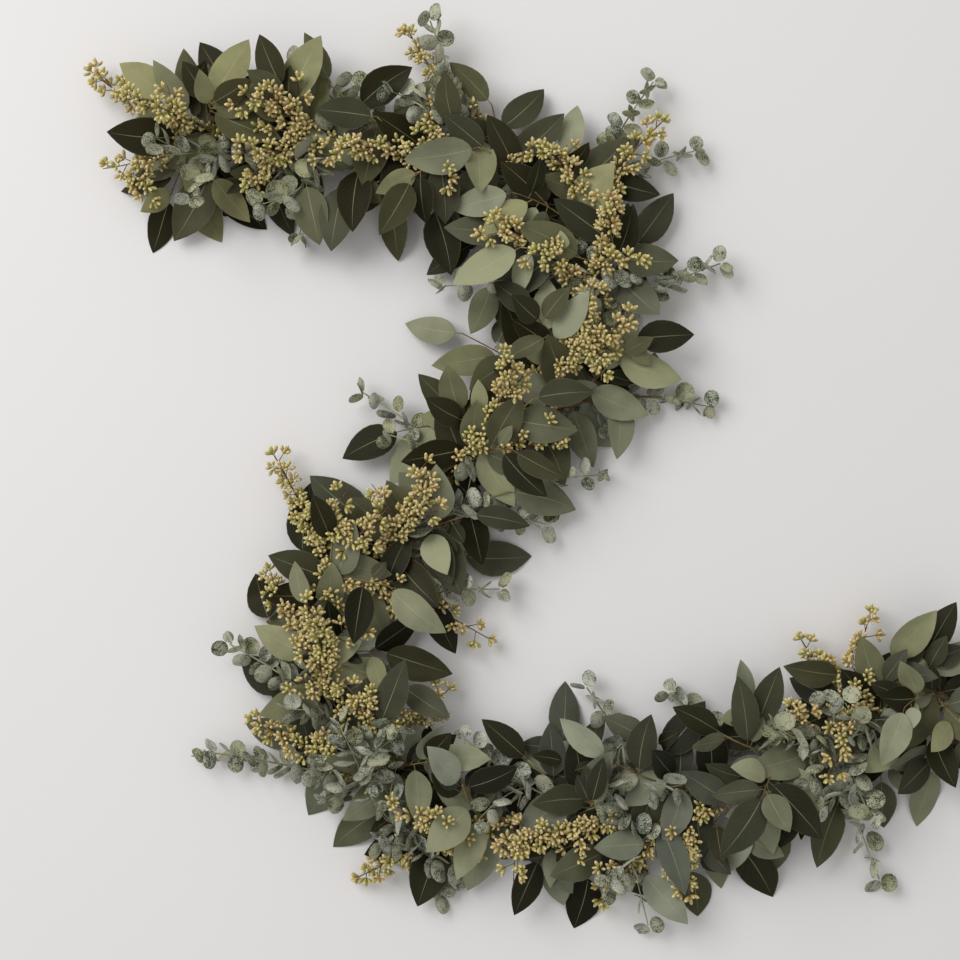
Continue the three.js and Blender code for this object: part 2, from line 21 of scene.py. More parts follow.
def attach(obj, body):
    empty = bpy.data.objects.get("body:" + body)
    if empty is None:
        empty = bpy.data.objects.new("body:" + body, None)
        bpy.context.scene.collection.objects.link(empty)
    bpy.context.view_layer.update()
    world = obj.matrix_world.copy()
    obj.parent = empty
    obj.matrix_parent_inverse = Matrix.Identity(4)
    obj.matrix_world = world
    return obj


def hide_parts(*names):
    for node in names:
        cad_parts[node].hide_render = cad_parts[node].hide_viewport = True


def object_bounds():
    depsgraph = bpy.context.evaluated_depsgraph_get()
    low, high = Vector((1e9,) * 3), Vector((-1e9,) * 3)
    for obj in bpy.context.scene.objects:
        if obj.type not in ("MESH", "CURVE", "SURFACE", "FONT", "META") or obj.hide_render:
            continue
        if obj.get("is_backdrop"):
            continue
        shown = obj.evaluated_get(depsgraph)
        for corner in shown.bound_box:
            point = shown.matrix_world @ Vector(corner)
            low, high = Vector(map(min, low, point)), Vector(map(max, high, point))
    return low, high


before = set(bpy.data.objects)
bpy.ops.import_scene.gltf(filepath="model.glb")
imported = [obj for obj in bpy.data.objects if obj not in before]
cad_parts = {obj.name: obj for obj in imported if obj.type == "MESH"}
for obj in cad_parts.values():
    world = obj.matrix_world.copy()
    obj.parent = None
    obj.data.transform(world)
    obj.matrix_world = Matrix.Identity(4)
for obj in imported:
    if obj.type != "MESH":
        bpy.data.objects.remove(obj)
cad_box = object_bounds()
MM = 0.001
UP = Vector((0, 0, 1))
print("nodes:", len(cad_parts))
print("CAD box:", [[round(value, 3) for value in corner] for corner in cad_box])

# %% [markdown]
# ## Camera, floor and light
# The photograph looks straight down on a pale floor. A camera that hangs high above it with a
# long lens does the same. The width of the view is set at the height of the upper leaves.
# One large lamp stands for a window at the upper left, and the world fills the shadows.

# %% Camera straight above
VIEW_WIDTH = 0.96
VIEW_HEIGHT = 0.04
CAMERA_HEIGHT = 1.94
CAMERA_MIDDLE = (0.030, 0.0)
SENSOR = 36


def put(name, data):
    """A new object that shows the data, linked into the scene."""
    made = bpy.data.objects.new(name, data)
    bpy.context.collection.objects.link(made)
    return made


camera_data = bpy.data.cameras.new("camera")
camera_data.sensor_width = SENSOR
camera_data.lens = SENSOR * (CAMERA_HEIGHT - VIEW_HEIGHT) / VIEW_WIDTH
camera = put("camera", camera_data)
camera.location = (*CAMERA_MIDDLE, CAMERA_HEIGHT)
bpy.context.scene.camera = camera
bpy.context.scene.view_settings.view_transform = "Standard"
print("lens in mm:", round(camera_data.lens, 2))

# %% Window lamp and fill
WINDOW_PLACE = Vector((-2.4, 2.0, 3.2))
WINDOW_AIM = Vector((0.15, -0.1, 0.0))
WINDOW_SIZE = 3.0
WINDOW_POWER = 132
WINDOW_COLOUR = (1.0, 0.99, 0.98)
FILL_COLOUR = (1.0, 0.98, 0.95, 1.0)
FILL_STRENGTH = 0.52

window_data = bpy.data.lights.new("window", "AREA")
window_data.size = WINDOW_SIZE
window_data.energy = WINDOW_POWER
window_data.color = WINDOW_COLOUR
window = put("window", window_data)
window.location = WINDOW_PLACE
window.rotation_euler = (WINDOW_AIM - WINDOW_PLACE).to_track_quat("-Z", "Y").to_euler()
world = bpy.data.worlds.new("room")
world.use_nodes = True
background = world.node_tree.nodes["Background"]
background.inputs["Color"].default_value = FILL_COLOUR
background.inputs["Strength"].default_value = FILL_STRENGTH
bpy.context.scene.world = world
print("window lamp:", WINDOW_POWER, "W, fill:", FILL_STRENGTH)

# %% [markdown]
# ## Finishes as expressions
# A finish is a node tree, and long trees are hard to read as a list of links. Here a small
# class wraps the output of a node, so that plain Python signs add the maths nodes. Every other
# node comes from one method, which takes its type, its settings and its sockets.

# %% Socket maths
class Value:
    """The output of a node, which Python's signs can do maths with."""

    def __init__(self, finish, socket):
        self.finish = finish
        self.socket = socket

    def maths(self, operation, *inputs):
        return self.finish.node("ShaderNodeMath", {"operation": operation}, dict(enumerate(inputs)))

    def __add__(self, other):
        return self.maths("ADD", self, other)

    def __sub__(self, other):
        return self.maths("SUBTRACT", self, other)

    def __rsub__(self, other):
        return self.maths("SUBTRACT", other, self)

    def __mul__(self, other):
        return self.maths("MULTIPLY", self, other)

    def __truediv__(self, other):
        return self.maths("DIVIDE", self, other)

    def __abs__(self):
        return self.maths("ABSOLUTE", self)

    __radd__ = __add__
    __rmul__ = __mul__

    def held(self):
        """The value kept between 0 and 1."""
        settings = {"operation": "ADD", "use_clamp": True}
        return self.finish.node("ShaderNodeMath", settings, {0: self, 1: 0.0})


class Finish:
    """A material that is built from expressions."""

    def __init__(self, name, constants):
        self.material = bpy.data.materials.new(name)
        self.material.use_nodes = True
        self.tree = self.material.node_tree
        self.surface = self.tree.nodes["Principled BSDF"]
        for socket, value in constants.items():
            self.surface.inputs[socket].default_value = value

    def node(self, kind, settings, sockets, output=0):
        made = self.tree.nodes.new(kind)
        for name, setting in settings.items():
            setattr(made, name, setting)
        for socket, value in sockets.items():
            if isinstance(value, Value):
                self.tree.links.new(value.socket, made.inputs[socket])
            else:
                made.inputs[socket].default_value = value
        return Value(self, made.outputs[output])

    def place(self):
        return self.node("ShaderNodeTexCoord", {}, {}, "Object")

    def tint(self, channel):
        colour = self.node("ShaderNodeAttribute", {"attribute_name": "tint"}, {}, "Color")
        return self.node("ShaderNodeSeparateColor", {}, {0: colour}, channel)

    def along(self, axis):
        mapped = self.node("ShaderNodeUVMap", {"uv_map": "UVMap"}, {})
        return self.node("ShaderNodeSeparateXYZ", {}, {0: mapped}, axis)

    def noise(self, scale, detail=2.0):
        sockets = {"Vector": self.place(), "Scale": scale, "Detail": detail}
        return self.node("ShaderNodeTexNoise", {}, sockets)

    def blend(self, share, first, second):
        return self.node("ShaderNodeMix", {"data_type": "RGBA"}, {0: share, 6: first, 7: second}, 2)

    def bump(self, height, strength, distance):
        sockets = {"Height": height, "Strength": strength, "Distance": distance}
        return self.node("ShaderNodeBump", {}, sockets)

    def give(self, colour, roughness, normal=None):
        for name, value in (("Base Color", colour), ("Roughness", roughness), ("Normal", normal)):
            if value:
                self.tree.links.new(value.socket, self.surface.inputs[name])
        print("finish:", self.material.name, "with", len(self.tree.nodes), "nodes")
        return self.material


def paint(red, green, blue):
    """A colour read off a screen, from 0 to 255, as the renderer's linear colour."""
    return (*[(value / 255) ** 2.2 for value in (red, green, blue)], 1.0)


# %% [markdown]
# ## Pointed leaves
# Seeded eucalyptus has matt, waxy leaves. No two are the same green: some are nearly black,
# some sage, and the lower bunches are bluer. Each leaf carries two numbers for that in an
# attribute, shade and warmth, and a third says which side is the underside. The shade is
# also darker for leaves low in the bunch, which is painted shade from the leaves above them.
# The midrib is a pale line, and the side veins leave it at a slant, so both are drawn in the
# leaf's own UV map. The edge is a thin warm line.

# %% Finish of the pointed leaves
RIB_WIDTH = 0.042
RIB_STRENGTH, VEIN_STRENGTH = 0.5, 0.06
VEIN_PAIRS = 10
VEIN_SLANT = 0.3
VEIN_START = 0.86
EDGE_START = 0.93


def leaf_finish():
    finish = Finish("waxy_leaf", {"Specular IOR Level": 0.12})
    shade, warmth, under = (finish.tint(channel) for channel in ("Red", "Green", "Blue"))
    patch = finish.noise(38.0)
    grain = finish.noise(900.0)
    shade = (shade * (0.45 + patch * 0.8 + grain * 0.3)).held()
    cool = finish.blend(shade, paint(30, 31, 20), paint(149, 155, 138))
    warm = finish.blend(shade, paint(37, 34, 13), paint(156, 155, 111))
    colour = finish.blend(warmth, cool, warm)
    aside = abs(finish.along("X") - 0.5) * 2
    up = finish.along("Y")
    rib = (1 - aside / ((1.25 - up) * RIB_WIDTH)).held()
    slant = (up - aside * VEIN_SLANT) * VEIN_PAIRS
    vein = ((abs(slant.maths("FRACT", slant) - 0.5) * 2 - VEIN_START) * 5 * (1 - aside)).held()
    line = (rib * RIB_STRENGTH + vein * VEIN_STRENGTH).held()
    colour = finish.blend(line, colour, paint(178, 180, 140))
    colour = finish.blend(under * 0.35, colour, paint(132, 140, 124))
    edge = ((aside - EDGE_START) * 9).held() * 0.35
    colour = finish.blend(edge, colour, paint(150, 128, 96))
    normal = finish.bump(grain * 0.25 + patch - line * 0.9, 0.35, 0.0006)
    return finish.give(colour, 0.44 + grain * 0.16 + patch * 0.06, normal)


waxy_leaf = leaf_finish()

# %% [markdown]
# ## Round leaves
# Baby blue eucalyptus is covered with a pale powder that is rubbed off in specks, so fine
# noise with a hard edge lays a speckle of green over the powder. The rim is greener, and the
# older leaves are olive.

# %% Finish of the round leaves
RIM_START = 0.86
SPECK_CONTRAST, PATCH_CONTRAST = 4.2, 2.4


def round_leaf_finish():
    finish = Finish("powdery_leaf", {"Specular IOR Level": 0.25, "Sheen Weight": 0.2})
    shade, warmth, rim = (finish.tint(channel) for channel in ("Red", "Green", "Blue"))
    patch = finish.noise(120.0)
    speck = finish.noise(780.0, 4.0)
    powder = finish.blend(warmth, paint(186, 189, 174), paint(162, 161, 120))
    skin = finish.blend(warmth, paint(54, 65, 50), paint(66, 68, 32))
    rubbed = (speck - 0.5) * SPECK_CONTRAST + (patch - 0.5) * PATCH_CONTRAST
    rubbed = (rubbed + 0.78 - shade * 0.85).held()
    colour = finish.blend(rubbed, powder, skin)
    colour = finish.blend(((rim - RIM_START) * 6).held() * 0.5, colour, paint(108, 112, 84))
    normal = finish.bump(speck * 0.5 + patch, 0.4, 0.0005)
    return finish.give(colour, 0.62 + speck * 0.2, normal)


powdery_leaf = round_leaf_finish()

# %% [markdown]
# ## Buds, twigs, cord and wire
# A bud is ochre, greener and darker towards its stalk and paler at the cap that it will drop.
# The greener tone is the bud's own; the darkness at the stalk is painted shade, for the shade
# between the buds of a spray. The third number of its attribute runs from stalk to cap.
# The twigs differ by plant: mauve brown under the buds, yellow green with a reddish side for
# the leaf stalks, and pale green between the round leaves.

# %% Finish of the buds
CAP_START = 0.62
SEAM_PLACE = 0.74


def bud_finish():
    finish = Finish("ochre_bud", {"Specular IOR Level": 0.4})
    shade, warmth, along = (finish.tint(channel) for channel in ("Red", "Green", "Blue"))
    patch = finish.noise(260.0)
    body = finish.blend(warmth, paint(190, 183, 103), paint(209, 185, 119))
    cap = finish.blend(warmth, paint(224, 216, 154), paint(231, 210, 162))
    colour = finish.blend(((along - CAP_START) * 3.4).held(), body, cap)
    # Greener and darker towards the stalk: the green is the bud's own colour, the darkness is
    # painted shade standing in for the shade between the buds of a spray.
    colour = finish.blend((1 - along * 2.6).held() * 0.8, colour, paint(92, 84, 44))
    seam = (1 - abs(along - SEAM_PLACE) * 14).held() * 0.45
    colour = finish.blend(seam, colour, paint(112, 88, 46))
    dark = finish.blend(0.45, colour, paint(92, 80, 46))
    colour = finish.blend((shade * 0.7 + 0.25 + (patch - 0.5) * 0.7).held(), dark, colour)
    return finish.give(colour, 0.5 + patch * 0.2, finish.bump(patch, 0.25, 0.0004))


def twig_finish(name, main, other):
    finish = Finish(name, {"Specular IOR Level": 0.3})
    patch = finish.noise(70.0)
    bark = finish.noise(1400.0)
    share = ((patch - 0.5) * 2.6 + finish.tint("Red")).held()
    colour = finish.blend(share, paint(*main), paint(*other))
    return finish.give(colour, 0.55 + bark * 0.25, finish.bump(bark, 0.5, 0.0004))


ochre_bud = bud_finish()
bud_twig = twig_finish("bud_twig", (74, 56, 44), (124, 104, 82))
leaf_twig = twig_finish("leaf_twig", (96, 64, 46), (140, 134, 84))
round_leaf_twig = twig_finish("round_leaf_twig", (112, 112, 78), (160, 168, 132))


# %% Finishes of the jute cord and the wire
def jute_finish():
    finish = Finish("jute", {"Specular IOR Level": 0.15, "Sheen Weight": 0.3})
    fibre = finish.noise(1600.0, 4.0)
    patch = finish.noise(90.0)
    share = (fibre * 0.7 + patch * 0.5).held()
    colour = finish.blend(share, paint(112, 86, 50), paint(196, 168, 118))
    return finish.give(colour, 0.8 + fibre * 0.2, finish.bump(fibre, 0.8, 0.0008))


def wire_finish():
    finish = Finish("green_lacquer", {"Specular IOR Level": 0.5, "Coat Weight": 0.3})
    patch = finish.noise(300.0)
    colour = finish.blend(patch, paint(38, 52, 34), paint(70, 86, 58))
    return finish.give(colour, 0.32 + patch * 0.2, finish.bump(patch, 0.1, 0.0002))


jute = jute_finish()
green_lacquer = wire_finish()


# %% [markdown]
# The floor is a pale painted board. It is only a stage, so it isn't part of the garland.

# %% Floor
FLOOR_SIZE = 24.0


def floor_finish():
    finish = Finish("pale_board", {"Specular IOR Level": 0.2})
    patch = finish.noise(1.3)
    colour = finish.blend(patch, paint(228, 227, 228), paint(233, 232, 233))
    return finish.give(colour, 0.75 + patch * 0.1)


floor_mesh = bmesh.new()
bmesh.ops.create_grid(floor_mesh, x_segments=1, y_segments=1, size=FLOOR_SIZE / 2)
floor_data = bpy.data.meshes.new("floor")
floor_mesh.to_mesh(floor_data)
floor_mesh.free()
floor_data.materials.append(floor_finish())
put("floor", floor_data)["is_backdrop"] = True

# %% [markdown]
# ## Where everything grows
# The solids were grown by a rule from a short list: the cord's points and the twig tips of
# each bunch. The same rule is followed here, in millimetres, so the finer twigs, leaves and
# buds start where the solid ones do. Where the rule had a choice, the corners of the packed
# solid show which way was taken.

# %% The cord's points and the twig tips of each bunch
CORD_HEIGHT = 13
CORD_POINTS = [
    (-300, 340), (-200, 338), (-95, 330), (10, 317), (90, 275), (134, 197), (113, 105),
    (52, 42), (-22, -16), (-79, -107), (-107, -190), (-73, -280), (5, -332), (103, -348),
    (202, -335), (298, -308), (393, -273), (476, -240), (518, -222), (548, -210),
]
END_TIE_PLACE = 18.6
TANGENT_STEP = 0.05

LEAF_TIPS = [
    [(-282, 382, 30), (-238, 378, 48), (-284, 288, 12), (-240, 292, 16), (-272, 346, 24)],
    [(-218, 384, 26), (-165, 388, 50), (-200, 298, 14), (-145, 300, 34)],
    [(-120, 396, 36), (-72, 360, 56), (-105, 298, 40), (-60, 290, 18)],
    [(42, 378, 26), (28, 330, 56), (-38, 298, 58), (-18, 276, 20), (5, 352, 40)],
    [(118, 322, 26), (170, 322, 18), (62, 285, 58), (25, 240, 18)],
    [(185, 235, 18), (148, 275, 60), (70, 230, 62), (42, 200, 20)],
    [(214, 84, 18), (180, 140, 48), (12, 148, 22), (85, 165, 64), (142, 62, 12)],
    [(82, 80, 58), (62, 30, 60), (-48, 50, 20), (5, 80, 40)],
    [(58, -12, 32), (20, -35, 54), (10, -78, 14), (-104, -45, 20)],
    [(-150, -78, 18), (-118, -62, 38), (-25, -118, 18), (-60, -105, 56)],
    [(-182, -145, 16), (-142, -128, 48), (-70, -172, 26), (-50, -205, 30)],
    [(-165, -218, 16), (-150, -268, 12), (-70, -245, 54), (-18, -278, 62)],
    [(-62, -330, 14), (12, -300, 62), (-25, -368, 14), (25, -362, 22)],
    [(78, -282, 26), (112, -270, 22), (90, -380, 24), (140, -322, 64)],
    [(158, -278, 48), (202, -262, 28), (140, -398, 14), (192, -394, 26)],
    [(270, -252, 54), (300, -232, 22), (242, -392, 14), (290, -366, 24), (310, -310, 62)],
    [(395, -196, 26), (440, -182, 32), (345, -352, 14), (392, -322, 26)],
    [(478, -178, 28), (490, -290, 16), (450, -225, 60), (436, -300, 16), (520, -262, 34)],
    [(560, -200, 25), (550, -255, 18)],
]
SEED_TIPS = [
    [(-362, 412, 20), (-318, 298, 24), (-270, 362, 52)], [(-178, 388, 60), (-202, 295, 40)],
    [(-105, 332, 62)], [(-42, 452, 22), (-2, 292, 50)], [(212, 358, 42), (95, 332, 44)],
    [(162, 275, 66), (42, 260, 50)], [(140, 190, 68), (160, 125, 40)],
    [(72, 102, 62), (115, 52, 36)],
    [(-18, 0, 58)], [(-178, 25, 20), (38, -160, 12), (-75, -65, 58)],
    [(-182, -92, 24), (-125, -145, 60)], [(-200, -242, 20), (-78, -210, 60), (-2, -212, 16)],
    [(-92, -402, 12), (-18, -332, 64)], [(50, -362, 60)], [(152, -425, 12), (240, -415, 36)],
    [(340, -225, 48)], [(355, -162, 20), (392, -255, 56), (425, -135, 18)], [], [(570, -185, 20)],
]
COIN_TIPS = [
    [], [(-287, 322, 54)], [(-160, 418, 24), (-152, 248, 12)], [(-20, 460, 38), (-60, 388, 44)],
    [(205, 402, 22), (247, 333, 16)], [(272, 218, 26), (-7, 195, 22)], [(260, 75, 12)],
    [(-88, 88, 20)], [(150, 5, 20), (-60, 45, 36), (98, -45, 16)], [(50, -110, 24)],
    [(-222, -165, 30)], [(-250, -275, 16), (-85, -275, 60)], [(-13, -422, 10), (-78, -315, 54)],
    [(15, -258, 44)], [(138, -210, 16), (200, -450, 10)], [(222, -215, 16)],
    [(320, -255, 54), (435, -405, 12)], [(400, -255, 50)], [],
]
BUNCH_COUNT = len(LEAF_TIPS)
KINDS = {"leaf": LEAF_TIPS, "seed": SEED_TIPS, "coin": COIN_TIPS}
print("twigs:", {kind: sum(map(len, tips)) for kind, tips in KINDS.items()})


# %% Chance and the cord's curve
def chance(branch, item, draw):
    """A repeatable number from 0 to 1 for one draw of one item in one branch."""
    wave = math.sin(branch * 12.9898 + item * 78.233 + draw * 37.719) * 43758.5453
    return wave - math.floor(wave)


def between(low, high, share):
    return low + (high - low) * share


def clamped(value, low=0, high=1):
    return min(max(value, low), high)


def cord_at(place):
    """The cord's centre at a place counted in points, on a curve through all of them."""
    last = len(CORD_POINTS) - 1
    index = clamped(math.floor(place), 0, last - 1)
    share = place - index
    knots = [Vector((x, y, CORD_HEIGHT)) for x, y in CORD_POINTS]
    before = knots[index - 1] if index > 0 else 2 * knots[0] - knots[1]
    after = knots[index + 2] if index + 2 <= last else 2 * knots[last] - knots[last - 1]
    start, end = knots[index], knots[index + 1]
    leave, arrive = (end - before) / 2, (after - start) / 2
    bend = 3 * (end - start) - 2 * leave - arrive
    turn = 2 * (start - end) + leave + arrive
    return start + leave * share + bend * share**2 + turn * share**3


def tie_at(place, turned):
    """The middle of a tie, the way its bunch grows and the way across."""
    along = (cord_at(place - TANGENT_STEP) - cord_at(place + TANGENT_STEP)).normalized()
    if turned:
        along.negate()
    return SimpleNamespace(centre=cord_at(place), along=along, across=UP.cross(along))


LINE_STEPS = 40
tie_places = [*range(1, BUNCH_COUNT), END_TIE_PLACE]
line_count = LINE_STEPS * (len(CORD_POINTS) - 1) + 1
cord_line = [cord_at(step / LINE_STEPS) for step in range(line_count)]
cord_length = sum((end - start).length for start, end in zip(cord_line, cord_line[1:]))
print("cord length in mm:", round(cord_length))

# %% Twigs that the rule could have grown
MAIN_STEPS, SIDE_STEPS = 3, 2
SEAT_TURNS = (0, 28, -28, 56, -56, 84, -84)
SEAT_REACHES = (4.7, 5, 5.3, 5.6)
SEAT_AHEAD, SEAT_BEHIND = 6, 8
SEAT_AIMS = (math.radians(15), math.radians(165))
MAIN_LEAD, SIDE_LEAD = 0.45, 0.35
SIDE_JOINTS = (2, 3)
TWIG_LIFTS = (4, 12, -3, 20, 30)
TIP_LIFT = 0.6
LOWEST_TWIG = 3


def curve_point(twig, share):
    """A point on a twig's arc, from its start at 0 to its tip at 1."""
    middle = twig.control * 2 * share * (1 - share)
    return twig.start * (1 - share) ** 2 + middle + twig.tip * share**2


def raised_tip(tip, lift):
    height = tip[2] + (lift - TWIG_LIFTS[0]) * TIP_LIFT
    return Vector((tip[0], tip[1], max(height, LOWEST_TWIG)))


def twig_from(start, heading, tip, lead, lift, steps, behind):
    control = start + heading * lead * (start - tip).length + UP * lift
    control.z = max(control.z, LOWEST_TWIG)
    twig = SimpleNamespace(start=start, control=control, tip=tip, is_main=behind is not None)
    twig.points = [curve_point(twig, step / steps) for step in range(steps + 1)]
    twig.stem = ([behind] if twig.is_main else []) + twig.points
    return twig


def main_twigs(tie, tip):
    for lift in TWIG_LIFTS:
        target = raised_tip(tip, lift)
        offset = target - tie.centre
        aim = clamped(math.atan2(max(offset.z, 0), offset.dot(tie.across)), *SEAT_AIMS)
        for turn in SEAT_TURNS:
            angle = aim + math.radians(turn)
            side = tie.across * math.cos(angle) + UP * math.sin(angle)
            for reach in SEAT_REACHES:
                seat = tie.centre + side * reach
                ahead, behind = seat + tie.along * SEAT_AHEAD, seat - tie.along * SEAT_BEHIND
                yield twig_from(ahead, tie.along, target, MAIN_LEAD, lift, MAIN_STEPS, behind)


def side_twigs(stem, tip):
    for lift in TWIG_LIFTS:
        target = raised_tip(tip, lift)
        for joint in SIDE_JOINTS:
            heading = (stem[joint + 1] - stem[joint - 1]).normalized()
            yield twig_from(stem[joint], heading, target, SIDE_LEAD, lift, SIDE_STEPS, None)


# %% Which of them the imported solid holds
MAIN_RADIUS, SIDE_RADIUS = 1.6, 0.85
RING_SIDES = 3
RING_SLACK = 0.04
CORNER_SLACK = 0.09


def corner_tree(node):
    """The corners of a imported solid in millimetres, ready to be searched."""
    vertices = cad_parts[node].data.vertices
    tree = KDTree(len(vertices))
    for index, vertex in enumerate(vertices):
        tree.insert(vertex.co / MM, index)
    tree.balance()
    return tree


def ring_corners(tree, centre, radius):
    """How many corners of a three-sided ring the solid has round a point."""
    near = {tuple(place) for place, _, distance in tree.find_n(centre, 4 * RING_SIDES)
            if abs(distance - radius) < RING_SLACK}
    return min(len(near), RING_SIDES)


def taken_twig(tree, twigs, radius):
    def fit(twig):
        rings = twig.stem if twig.is_main else twig.stem[1:]
        return sum(ring_corners(tree, centre, radius) for centre in rings) / len(rings)
    best = max(twigs, key=fit)
    best.fit = fit(best)
    return best


def has_corner(tree, point):
    return tree.find(point)[2] < CORNER_SLACK


branches = []
for index in range(BUNCH_COUNT):
    tie = tie_at(tie_places[index], index == BUNCH_COUNT - 1)
    for kind_index, (kind, tips) in enumerate(KINDS.items()):
        if tips[index]:
            branch = SimpleNamespace(kind=kind, index=index)
            branch.number = index * len(KINDS) + kind_index + 1
            branch.node = f"{kind}_branch_{index + 1:02d}"
            branch.tree = corner_tree(branch.node)
            main = taken_twig(branch.tree, main_twigs(tie, tips[index][0]), MAIN_RADIUS)
            branch.twigs = [main] + [
                taken_twig(branch.tree, side_twigs(main.stem, tip), SIDE_RADIUS)
                for tip in tips[index][1:]
            ]
            branches.append(branch)
leafy, seeded, coined = (
    [branch for branch in branches if branch.kind == kind] for kind in KINDS
)
fits = [twig.fit for branch in branches for twig in branch.twigs]
print("branches:", len(branches), "twigs:", len(fits), "poorest fit:", round(min(fits), 2))

# %% [markdown]
# Now the leaves. The rule tries several ways to turn each leaf, and the one whose tip and
# side are corners of the solid is the one that was taken. A leaf with no such corners was
# left out for want of room.

# %% Leaves of the solid
MAIN_LEAF_PLACES = (1, 0.78, 0.62, 0.48, 0.34, 0.2)
SIDE_LEAF_PLACES = (1, 0.82, 0.64, 0.48, 0.32)
LEAF_RISES = (0, 11, -11, 24)
LEAF_TURNS = (0, 18, -18, 36, -36, 56)
LEAF_SIZES = (1, 0.84)
LEAF_LENGTHS = (58, 78)
LEAF_WIDTHS = (0.46, 0.56)
LEAF_BENDS = (0, 0.14)
TIP_YAWS, SIDE_YAWS = (-10, 10), (35, 62)
LOW_PITCHES, HIGH_PITCHES = (-20, -8), (-10, 20)
LEAF_ROLLS = (-24, 24)
LOW_TIP = 18
BLADE_STATIONS = ((0.43, 0.5), (0.74, 0.34))
REST_BRANCH = "leaf_branch_07"
REST_TIP = (39, 10, 9)
REST_LENGTH = 66
REST_PITCH = -30


def twig_at(twig, share):
    """A point and heading on the straight runs between a twig's rings."""
    scaled = share * (len(twig.points) - 1)
    index = min(math.floor(scaled), len(twig.points) - 2)
    run = twig.points[index + 1] - twig.points[index]
    return twig.points[index] + run * (scaled - index), run.normalized()


def leaf_axes(leaf, bearing, pitch, roll):
    flat = Vector((math.cos(bearing), math.sin(bearing), 0))
    level = UP.cross(flat)
    leaf.along = flat * math.cos(pitch) + UP * math.sin(pitch)
    leaf.face = leaf.along.cross(level) * math.cos(roll) + level * math.sin(roll)
    leaf.across = leaf.face.cross(leaf.along)


def middle_at(leaf, distance, half=0.0):
    """A point of the leaf's middle line, kept high enough for both edges."""
    droop = leaf.bend * distance**2 / leaf.length
    point = leaf.root + leaf.along * distance - leaf.face * droop
    point.z = max(point.z, half * abs(leaf.across.z))
    return point


def leaf_is_there(tree, leaf):
    if not has_corner(tree, middle_at(leaf, leaf.length)):
        return False
    for place, part in BLADE_STATIONS:
        half = leaf.width * part
        middle = middle_at(leaf, leaf.length * place, half)
        if any(has_corner(tree, middle + leaf.across * side) for side in (half, -half)):
            return True
    return False


def leaf_ways(number, item, twig, share):
    root, heading = twig_at(twig, share)
    low = twig.tip.z < LOW_TIP
    side = 1 if item % 2 == 0 else -1
    draws = [chance(number, item, draw) for draw in range(1, 7)]
    yaw = between(*TIP_YAWS, draws[0]) if share == 1 else between(*SIDE_YAWS, draws[0]) * side
    length = between(*LEAF_LENGTHS, draws[1])
    pitch = between(*(LOW_PITCHES if low else HIGH_PITCHES), draws[2])
    roll = 0 if low else math.radians(between(*LEAF_ROLLS, draws[3]))
    width = length * between(*LEAF_WIDTHS, draws[4])
    bend = between(*LEAF_BENDS, draws[5])
    bearing = math.atan2(heading.y, heading.x) + math.radians(yaw)
    for size, rise, turn in itertools.product(LEAF_SIZES, LEAF_RISES, LEAF_TURNS):
        leaf = SimpleNamespace(root=root, length=length * size, width=width * size, bend=bend)
        leaf_axes(leaf, bearing + math.radians(turn) * side, math.radians(pitch + rise), roll)
        yield leaf


def read_leaves(branch):
    branch.leaves = []
    item = 0
    for twig in branch.twigs:
        twig.is_bare = True
        for share in MAIN_LEAF_PLACES if twig.is_main else SIDE_LEAF_PLACES:
            ways = leaf_ways(branch.number, item, twig, share)
            leaf = next((way for way in ways if leaf_is_there(branch.tree, way)), None)
            if leaf:
                leaf.shift = curve_point(twig, share) - leaf.root
                branch.leaves.append(leaf)
                twig.is_bare = twig.is_bare and share < 1
            item += 1


def read_rest_leaf(branch):
    """The low twig and level leaf that carry the garland at its origin."""
    twig = taken_twig(branch.tree, side_twigs(branch.twigs[0].stem, REST_TIP), SIDE_RADIUS)
    root = twig.tip
    width = REST_LENGTH * LEAF_WIDTHS[1]
    leaf = SimpleNamespace(root=root, length=REST_LENGTH, width=width, bend=0, shift=Vector())
    leaf_axes(leaf, math.atan2(-root.y, -root.x), math.radians(REST_PITCH), 0)
    twig.is_bare = False
    branch.twigs.append(twig)
    branch.leaves.append(leaf)
    print("rest leaf found:", leaf_is_there(branch.tree, leaf))


for branch in leafy:
    read_leaves(branch)
    if branch.node == REST_BRANCH:
        read_rest_leaf(branch)
print("leaves:", sum(len(branch.leaves) for branch in leafy))

# %% Round leaves and buds of the solid
COIN_TURNS = (0, 25, -25, 50, -50, 75, -75)
COIN_LEANS = (18, 40)
COIN_RADII = (12, 6.5)
COIN_FIRST = 0.35
COIN_SPACING = 58
COIN_INSET = 0.35
CUP_SHARE, FACE_SHARES = 0.6, 1.4
PAIR_TURN, PAIR_SWAY = 90, 20
BUD_TURNS = (0, 35, -35, 70, -70, 120)
BUD_LEAN, LAST_BUD_LEAN = 58, 4
BUD_FIRST = 0.42
BUD_SPACING = 22
BUD_LENGTH = 11
GOLDEN_ANGLE = 137.5


def twig_length(twig):
    return sum((end - start).length for start, end in zip(twig.points, twig.points[1:]))


def turned_about(heading, degrees):
    """A direction square to a twig, turned about it from the level one."""
    level = UP.cross(heading).normalized()
    return Matrix.Rotation(math.radians(degrees), 3, heading) @ level


def coin_from(root, heading, roll, lean, radius, cup_share=CUP_SHARE):
    sideways = turned_about(heading, roll)
    coin = SimpleNamespace(root=root, radius=radius)
    coin.outward = sideways * math.cos(lean) + heading * math.sin(lean)
    cup = heading * math.cos(lean) - sideways * math.sin(lean)
    flat = sideways.cross(heading)
    coin.face = (flat * (FACE_SHARES - cup_share) + cup * cup_share).normalized()
    coin.across = coin.outward.cross(coin.face)
    return coin


def coin_is_there(tree, coin):
    return has_corner(tree, coin.root + coin.outward * (2 * coin.radius - COIN_INSET))


